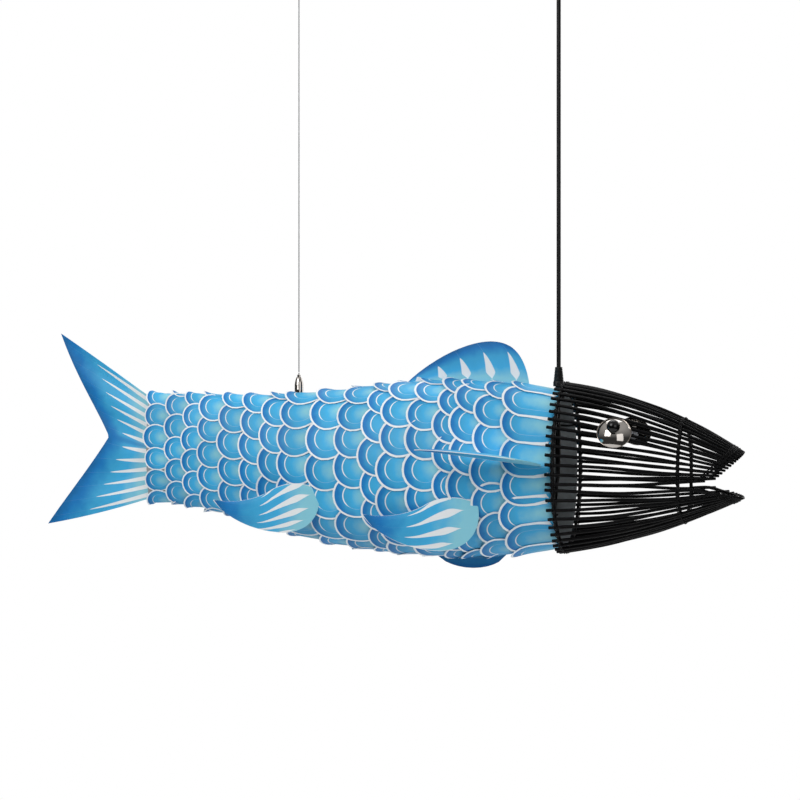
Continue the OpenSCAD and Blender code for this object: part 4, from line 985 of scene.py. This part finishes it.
def make_head(size, paint):
    """Rattan slats from the head hoop to the jaws, the two hoops and the two jaw wires."""
    chance = np.random.default_rng(size.seed + 1)
    wander = size.slat_wander / MM
    for jaw, count, word in ((1, UPPER_SLATS, "upper"), (-1, LOWER_SLATS, "lower")):
        slats = Solid()
        for s in np.linspace(-1, 1, count):
            s = np.array(s)
            root = slat_root(jaw, s)
            stub = 1.0 if jaw > 0 and abs(root[1]) < GLAND_CLEAR else STUB + chance.uniform(-1.5, 0)
            u = np.linspace(-stub / (slat_tip(jaw, s)[0] - HOOP_X), 1, 26)
            phase = chance.uniform(0, 2 * np.pi, 2)
            window = np.sin(np.pi * np.clip(u, 0, 1)) * wander
            path = cage(jaw, s + 0 * u, u, window * np.sin(7 * u + phase[0]) * 0.5)
            a = hoop_turn(jaw, s)
            path += (window * np.sin(5 * u + phase[1]))[:, None] * np.array([0, np.cos(a), -np.sin(a)])
            radius = np.interp(u, [0.6, 1], [SLAT_D / 2, SLAT_TIP_D / 2])
            radius *= 1.1 + 0.03 * np.sin(31 * u + phase[0])
            add_tube(slats, path, radius, 12, up=(0, np.sin(a), np.cos(a)), cap_bevel=0.4)
        piece = slats.build(word + "_rattan_slats", [paint["rattan"]])
        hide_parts(word + "_slats")
    turn = np.linspace(0, 2 * np.pi, 120, endpoint=False)
    hoop = Solid()
    reach = SLAT_D / 2 + HOOP_WIRE_D / 2 + 0.1
    ring = np.stack([HOOP_X + 0 * turn, (SLAT_HALF_W - reach) * np.sin(turn),
                     HEAD_Z + (SLAT_HALF_H - reach) * np.cos(turn)], -1)
    add_tube(hoop, ring, HOOP_WIRE_D / 2, 14, up=(1, 0, 0), closed=True)
    piece = hoop.build("head_ring", [paint["wire"]])
    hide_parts("head_hoop")
    hoop = Solid()
    ring, _ = slat_loop(MID_HOOP_X, -SLAT_D / 2 - HOOP_WIRE_D / 2 - 0.4)
    add_tube(hoop, ring, HOOP_WIRE_D / 2, 14, up=(1, 0, 0), closed=True)
    piece = hoop.build("mid_ring", [paint["wire"]])
    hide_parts("mid_hoop")
    inset = -SLAT_D / 2 - JAW_WIRE_D / 2 - 0.6
    back = MID_HOOP_X + HOOP_WIRE_D / 2 + JAW_WIRE_D / 2 + 0.4
    for jaw, word in ((1, "upper"), (-1, "lower")):
        s = np.linspace(-1, 1, 25)
        arc = cage_at(jaw, s, slat_tip(jaw, s)[..., 0] - 9, inset)
        ends = [cage_at(jaw, np.array([k]), back, inset) for k in (-1.0, 1.0)]
        wire = Solid()
        bend = smooth_path(np.concatenate([ends[0], arc, ends[1]]), 4)
        add_tube(wire, bend, JAW_WIRE_D / 2, 12, up=(0, 0, 1))
        piece = wire.build(word + "_jaw_ring", [paint["wire"]])
        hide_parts(word + "_jaw_wire")


def slat_loop(x, out, steps=8):
    """A closed line round the slats at x, a given distance outside their middles, and its outward directions.
    It passes the upper slats from one side over the top, then the lower ones back under the chin."""
    points, ways = [], []
    for jaw, count in ((1, UPPER_SLATS), (-1, LOWER_SLATS)):
        s = np.linspace(-1, 1, count)[::jaw]
        a = hoop_turn(jaw, s)
        points.append(cage_at(jaw, s, x))
        ways.append(np.stack([0 * a, np.sin(a), np.cos(a)], -1))
    line = smooth_path(np.concatenate(points), steps, closed=True)
    way = smooth_path(np.concatenate(ways), steps, closed=True)
    way /= np.linalg.norm(way, axis=1, keepdims=True)
    return line + way * np.asarray(out)[..., None], way


def make_lashings(size, paint):
    """Two cords twined round the slats at each hoop and along each jaw: over a slat each rises as a cosine,
    between slats both dip, and they swap sides there, one over the other."""
    lashing, steps = Solid(), 8
    total = (UPPER_SLATS + LOWER_SLATS) * steps
    t = np.arange(total) / steps
    radius = size.lashing_d / MM / 2
    for x in (HOOP_X, MID_HOOP_X):
        for strand in (1, -1):
            out = 1.75 + 1.25 * np.cos(2 * np.pi * t) + strand * 0.45 * np.sin(np.pi * t)
            line = slat_loop(x, out, steps)[0]
            line[:, 0] += strand * 1.9 * np.cos(np.pi * t)
            add_tube(lashing, line, radius, 8, up=(1, 0, 0), closed=True)
    for jaw, count in ((1, UPPER_SLATS), (-1, LOWER_SLATS)):
        t = np.linspace(0, count - 1, (count - 1) * steps + 1)
        s = 2 * t / (count - 1) - 1
        for back in (7.5, 12.0):
            for strand in (1, -1):
                out = 1.5 + 1.1 * np.cos(2 * np.pi * t) + strand * 0.4 * np.sin(np.pi * t)
                x = slat_tip(jaw, s)[..., 0] - back + strand * 1.5 * np.cos(np.pi * t)
                add_tube(lashing, cage_at(jaw, s, x, out), radius, 8, up=(1, 0.02, 0.03))
    piece = lashing.build("twined_lashing", [paint["lashing"]])
    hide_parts("lashing_cord")


def eye_frame(side):
    """Foot and outward direction of an eye."""
    s = np.array(58.0 / 100)
    foot = cage_at(1, s, HOOP_X + 86, SLAT_D / 2 + 1.7) * [1, side, 1]
    way = turned(turned(np.array([0.0, 0, 1]), 0, side * (30 - 90)), 2, -side * 9)
    return foot, way


def make_eyes(paint):
    """Chrome domes, each a cap of a ball with a rolled rim, and glossy ball pupils on them."""
    radius, height, pupil = 24.0, 13.0, 9.5
    ball = (radius ** 2 + height ** 2) / (2 * height)
    for side, word in ((1, "left"), (-1, "right")):
        foot, way = eye_frame(side)
        swing = np.linspace(0, np.arcsin(radius / ball), 22)
        outer = np.stack([ball * np.sin(swing), height - ball + ball * np.cos(swing)], -1)
        inner = np.stack([(ball - 1.2) * np.sin(swing), height - ball + (ball - 1.2) * np.cos(swing)], -1)
        inner[:, 1] = np.maximum(inner[:, 1], 0.2)
        rim = [[radius + 0.5, 0.5], [radius + 0.4, 0.1], [radius - 0.4, 0.0]]
        dome = Solid()
        add_lathe(dome, np.concatenate([outer, rim, inner[::-1]])[::-1], foot, way, 72)
        piece = dome.build(word + "_eye_cap", [paint["chrome"]])
        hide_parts(word + "_eye_dome")
        angle = np.linspace(-np.pi / 2, np.pi / 2, 25)
        z = height + pupil * 0.62 + pupil * np.sin(angle)
        profile = np.stack([pupil * np.cos(angle), z], -1)
        profile = profile[z > height + 0.4]
        profile = np.concatenate([[[0, height + 0.3], [profile[0, 0], height + 0.3]], profile])
        ball_eye = Solid()
        add_lathe(ball_eye, profile, foot, way, 48)
        piece = ball_eye.build(word + "_pupil_ball", [paint["pupil"]])
        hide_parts(word + "_pupil")


def make_gland(paint):
    """The cord gland: a collar, a ribbed taper and a nose, bored for the cord, over its threaded shank."""
    low, high = box_mm("cord_gland")
    seat = float(mid_z(np.array(0.0)) + half_h(np.array(0.0))) + 0.2
    steps = np.linspace(0, 1, 61)
    taper = 7.4 + (5.3 - 7.4) * steps + 0.32 * np.cos(2 * np.pi * 9 * steps)
    nose = np.stack([taper, seat + 7 + (high[2] - seat - 8.5) * steps], -1)
    profile = np.concatenate([
        [[3.3, low[2]], [5, low[2]], [5, seat], [7.6, seat], [8, seat + 0.5], [8, seat + 6.4],
         [7.7, seat + 7]],
        nose, [[5.2, high[2] - 0.5], [4.7, high[2]], [4.6, high[2]], [3.3, high[2] - 9]]])
    gland = Solid()
    add_lathe(gland, profile, np.zeros(3), (0, 0, 1), 56, closed=True)
    piece = gland.build("ribbed_gland", [paint["gland"]])
    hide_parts("cord_gland")


def paint_nodes(paint):
    """Gives every frame node that still shows its own finish."""
    for node, name in NODE_FINISH.items():
        shown = frame["nodes"][node]
        for piece in [shown, *shown.children_recursive]:
            if piece.type != "MESH":
                continue
            if not piece.material_slots:
                piece.data.materials.append(paint[name])
            for slot in piece.material_slots:
                slot.material = paint[name]


def make_stage():
    """Camera, pale floor, world and soft lights."""
    scene = bpy.context.scene
    scene.view_settings.view_transform = "Standard"
    target = Vector((-0.244, 0, -0.665))
    swing = np.radians(18)
    lens = bpy.data.cameras.new("view")
    lens.sensor_width, lens.lens = 36, 90
    camera = bpy.data.objects.new("view", lens)
    camera.location = target + 3.0 * Vector((np.sin(swing), -np.cos(swing), 0))
    camera.rotation_euler = (target - camera.location).to_track_quat("-Z", "Y").to_euler()
    scene.collection.objects.link(camera)
    scene.camera = camera
    turn = np.linspace(0, 2 * np.pi, 64, endpoint=False)
    place = np.stack([-244 + 1500 * np.cos(turn), 1500 * np.sin(turn), -1620 + 0 * turn], -1)
    mesh = bpy.data.meshes.new("floor")
    mesh.from_pydata(place * MM, [], [list(range(64))])
    mesh.materials.append(finish("floor_paper", (0.95, 0.95, 0.95), (0.92, 0.92, 0.92), (0.7, 0.8), 0.3))
    ground = bpy.data.objects.new("floor", mesh)
    scene.collection.objects.link(ground)
    world = bpy.data.worlds.new("studio")
    scene.world = world
    world.use_nodes = True
    tree = world.node_tree
    back = tree.nodes["Background"]
    ray, glow, pick = (tree.nodes.new("ShaderNode" + kind)
                       for kind in ("LightPath", "Background", "MixShader"))
    place, parts, ramp = (tree.nodes.new("ShaderNode" + kind)
                          for kind in ("TexCoord", "SeparateXYZ", "ValToRGB"))
    tree.links.new(place.outputs["Generated"], parts.inputs[0])
    tree.links.new(parts.outputs[2], ramp.inputs[0])
    for element, (spot, value) in zip(ramp.color_ramp.elements, ((0.05, 0.1), (0.75, 1.0))):
        element.position, element.color = spot, (value, value, value, 1)
    tree.links.new(ramp.outputs[0], glow.inputs[0])
    glow.inputs[1].default_value = 0.5
    back.inputs[0].default_value = (1, 1, 1, 1)
    back.inputs[1].default_value = 1.0
    tree.links.new(ray.outputs["Is Camera Ray"], pick.inputs[0])
    tree.links.new(glow.outputs[0], pick.inputs[1])
    tree.links.new(back.outputs[0], pick.inputs[2])
    tree.links.new(pick.outputs[0], tree.nodes["World Output"].inputs["Surface"])
    for name, spot, size, power in (("key", (-0.9, -1.7, 0.35), 1.3, 24), ("fill", (1.5, -1.5, -0.5), 1.4, 8),
                                    ("top", (-0.2, 0.6, 0.7), 1.2, 9),
                                    ("rear", (0.9, 1.9, -0.2), 1.4, 14)):
        lamp = bpy.data.lights.new(name, "AREA")
        lamp.size, lamp.energy = size, power
        placed = bpy.data.objects.new(name, lamp)
        placed.location = spot
        placed.rotation_euler = (target - Vector(spot)).to_track_quat("-Z", "Y").to_euler()
        scene.collection.objects.link(placed)


# ------------------------------------------------------------------ the add-on
class LampState(bpy.types.PropertyGroup):
    """All the lamp's settings."""

    sizes: PointerProperty(type=LampSizes, name="Sizes", description="Sizes of the pieces")
    colours: PointerProperty(type=LampColours, name="Colours", description="Colours of the finishes")


def finishes():
    """Every finish, made the first time it is asked for."""
    if not PAINT:
        PAINT.update(make_materials(bpy.context.scene.fish_lamp.colours))
    return PAINT


PAINT = {}


class BuildStage(bpy.types.Operator):
    """Adds the camera, the floor and the lights"""

    bl_idname = "fishlamp.stage"
    bl_label = "Stage"

    def execute(self, context):
        make_stage()
        return {"FINISHED"}


class BuildCords(bpy.types.Operator):
    """Builds the power cord, the steel cable and the lead inside"""

    bl_idname = "fishlamp.cords"
    bl_label = "Cords"

    def execute(self, context):
        make_cords(finishes())
        return {"FINISHED"}


class BuildScales(bpy.types.Operator):
    """Lays the rows of card scales round the body"""

    bl_idname = "fishlamp.scales"
    bl_label = "Scales"

    def execute(self, context):
        make_scales(context.scene.fish_lamp.sizes, finishes())
        return {"FINISHED"}


class BuildFins(bpy.types.Operator):
    """Builds the card fins"""

    bl_idname = "fishlamp.fins"
    bl_label = "Fins"

    def execute(self, context):
        make_upright_fins(context.scene.fish_lamp.sizes, finishes())
        make_paired_fins(context.scene.fish_lamp.sizes, finishes())
        return {"FINISHED"}


class BuildHead(bpy.types.Operator):
    """Builds the slatted head with its hoops and lashings"""

    bl_idname = "fishlamp.head"
    bl_label = "Head"

    def execute(self, context):
        make_head(context.scene.fish_lamp.sizes, finishes())
        make_lashings(context.scene.fish_lamp.sizes, finishes())
        return {"FINISHED"}


class BuildEyes(bpy.types.Operator):
    """Builds the eyes"""

    bl_idname = "fishlamp.eyes"
    bl_label = "Eyes"

    def execute(self, context):
        make_eyes(finishes())
        return {"FINISHED"}


class BuildHardware(bpy.types.Operator):
    """Builds the gland and gives the frame's own parts their finishes"""

    bl_idname = "fishlamp.hardware"
    bl_label = "Hardware"

    def execute(self, context):
        make_gland(finishes())
        paint_nodes(finishes())
        return {"FINISHED"}


OPERATORS = (BuildStage, BuildCords, BuildScales, BuildFins, BuildHead, BuildEyes, BuildHardware)


class LampPanel(bpy.types.Panel):
    """Settings and build buttons of the fish lamp"""

    bl_idname = "VIEW3D_PT_fish_lamp"
    bl_label = "Fish Lamp"
    bl_space_type = "VIEW_3D"
    bl_region_type = "UI"
    bl_category = "Fish Lamp"

    def draw(self, context):
        column = self.layout.column()
        for group in (context.scene.fish_lamp.sizes, context.scene.fish_lamp.colours):
            for key in group.bl_rna.properties.keys():
                if key not in ("rna_type", "name"):
                    column.prop(group, key)
        for operator in OPERATORS:
            column.operator(operator.bl_idname)


CLASSES = (LampSizes, LampColours, LampState, *OPERATORS, LampPanel)


def register():
    """Registers the settings, the operators and the panel."""
    for kind in CLASSES:
        bpy.utils.register_class(kind)
    bpy.types.Scene.fish_lamp = PointerProperty(type=LampState)


def unregister():
    """Takes them all away again."""
    del bpy.types.Scene.fish_lamp
    for kind in reversed(CLASSES):
        bpy.utils.unregister_class(kind)


def main():
    """Registers the add-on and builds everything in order."""
    register()
    for operator in OPERATORS:
        getattr(bpy.ops.fishlamp, operator.bl_idname.split(".")[1])()


if __name__ == "__main__":
    main()
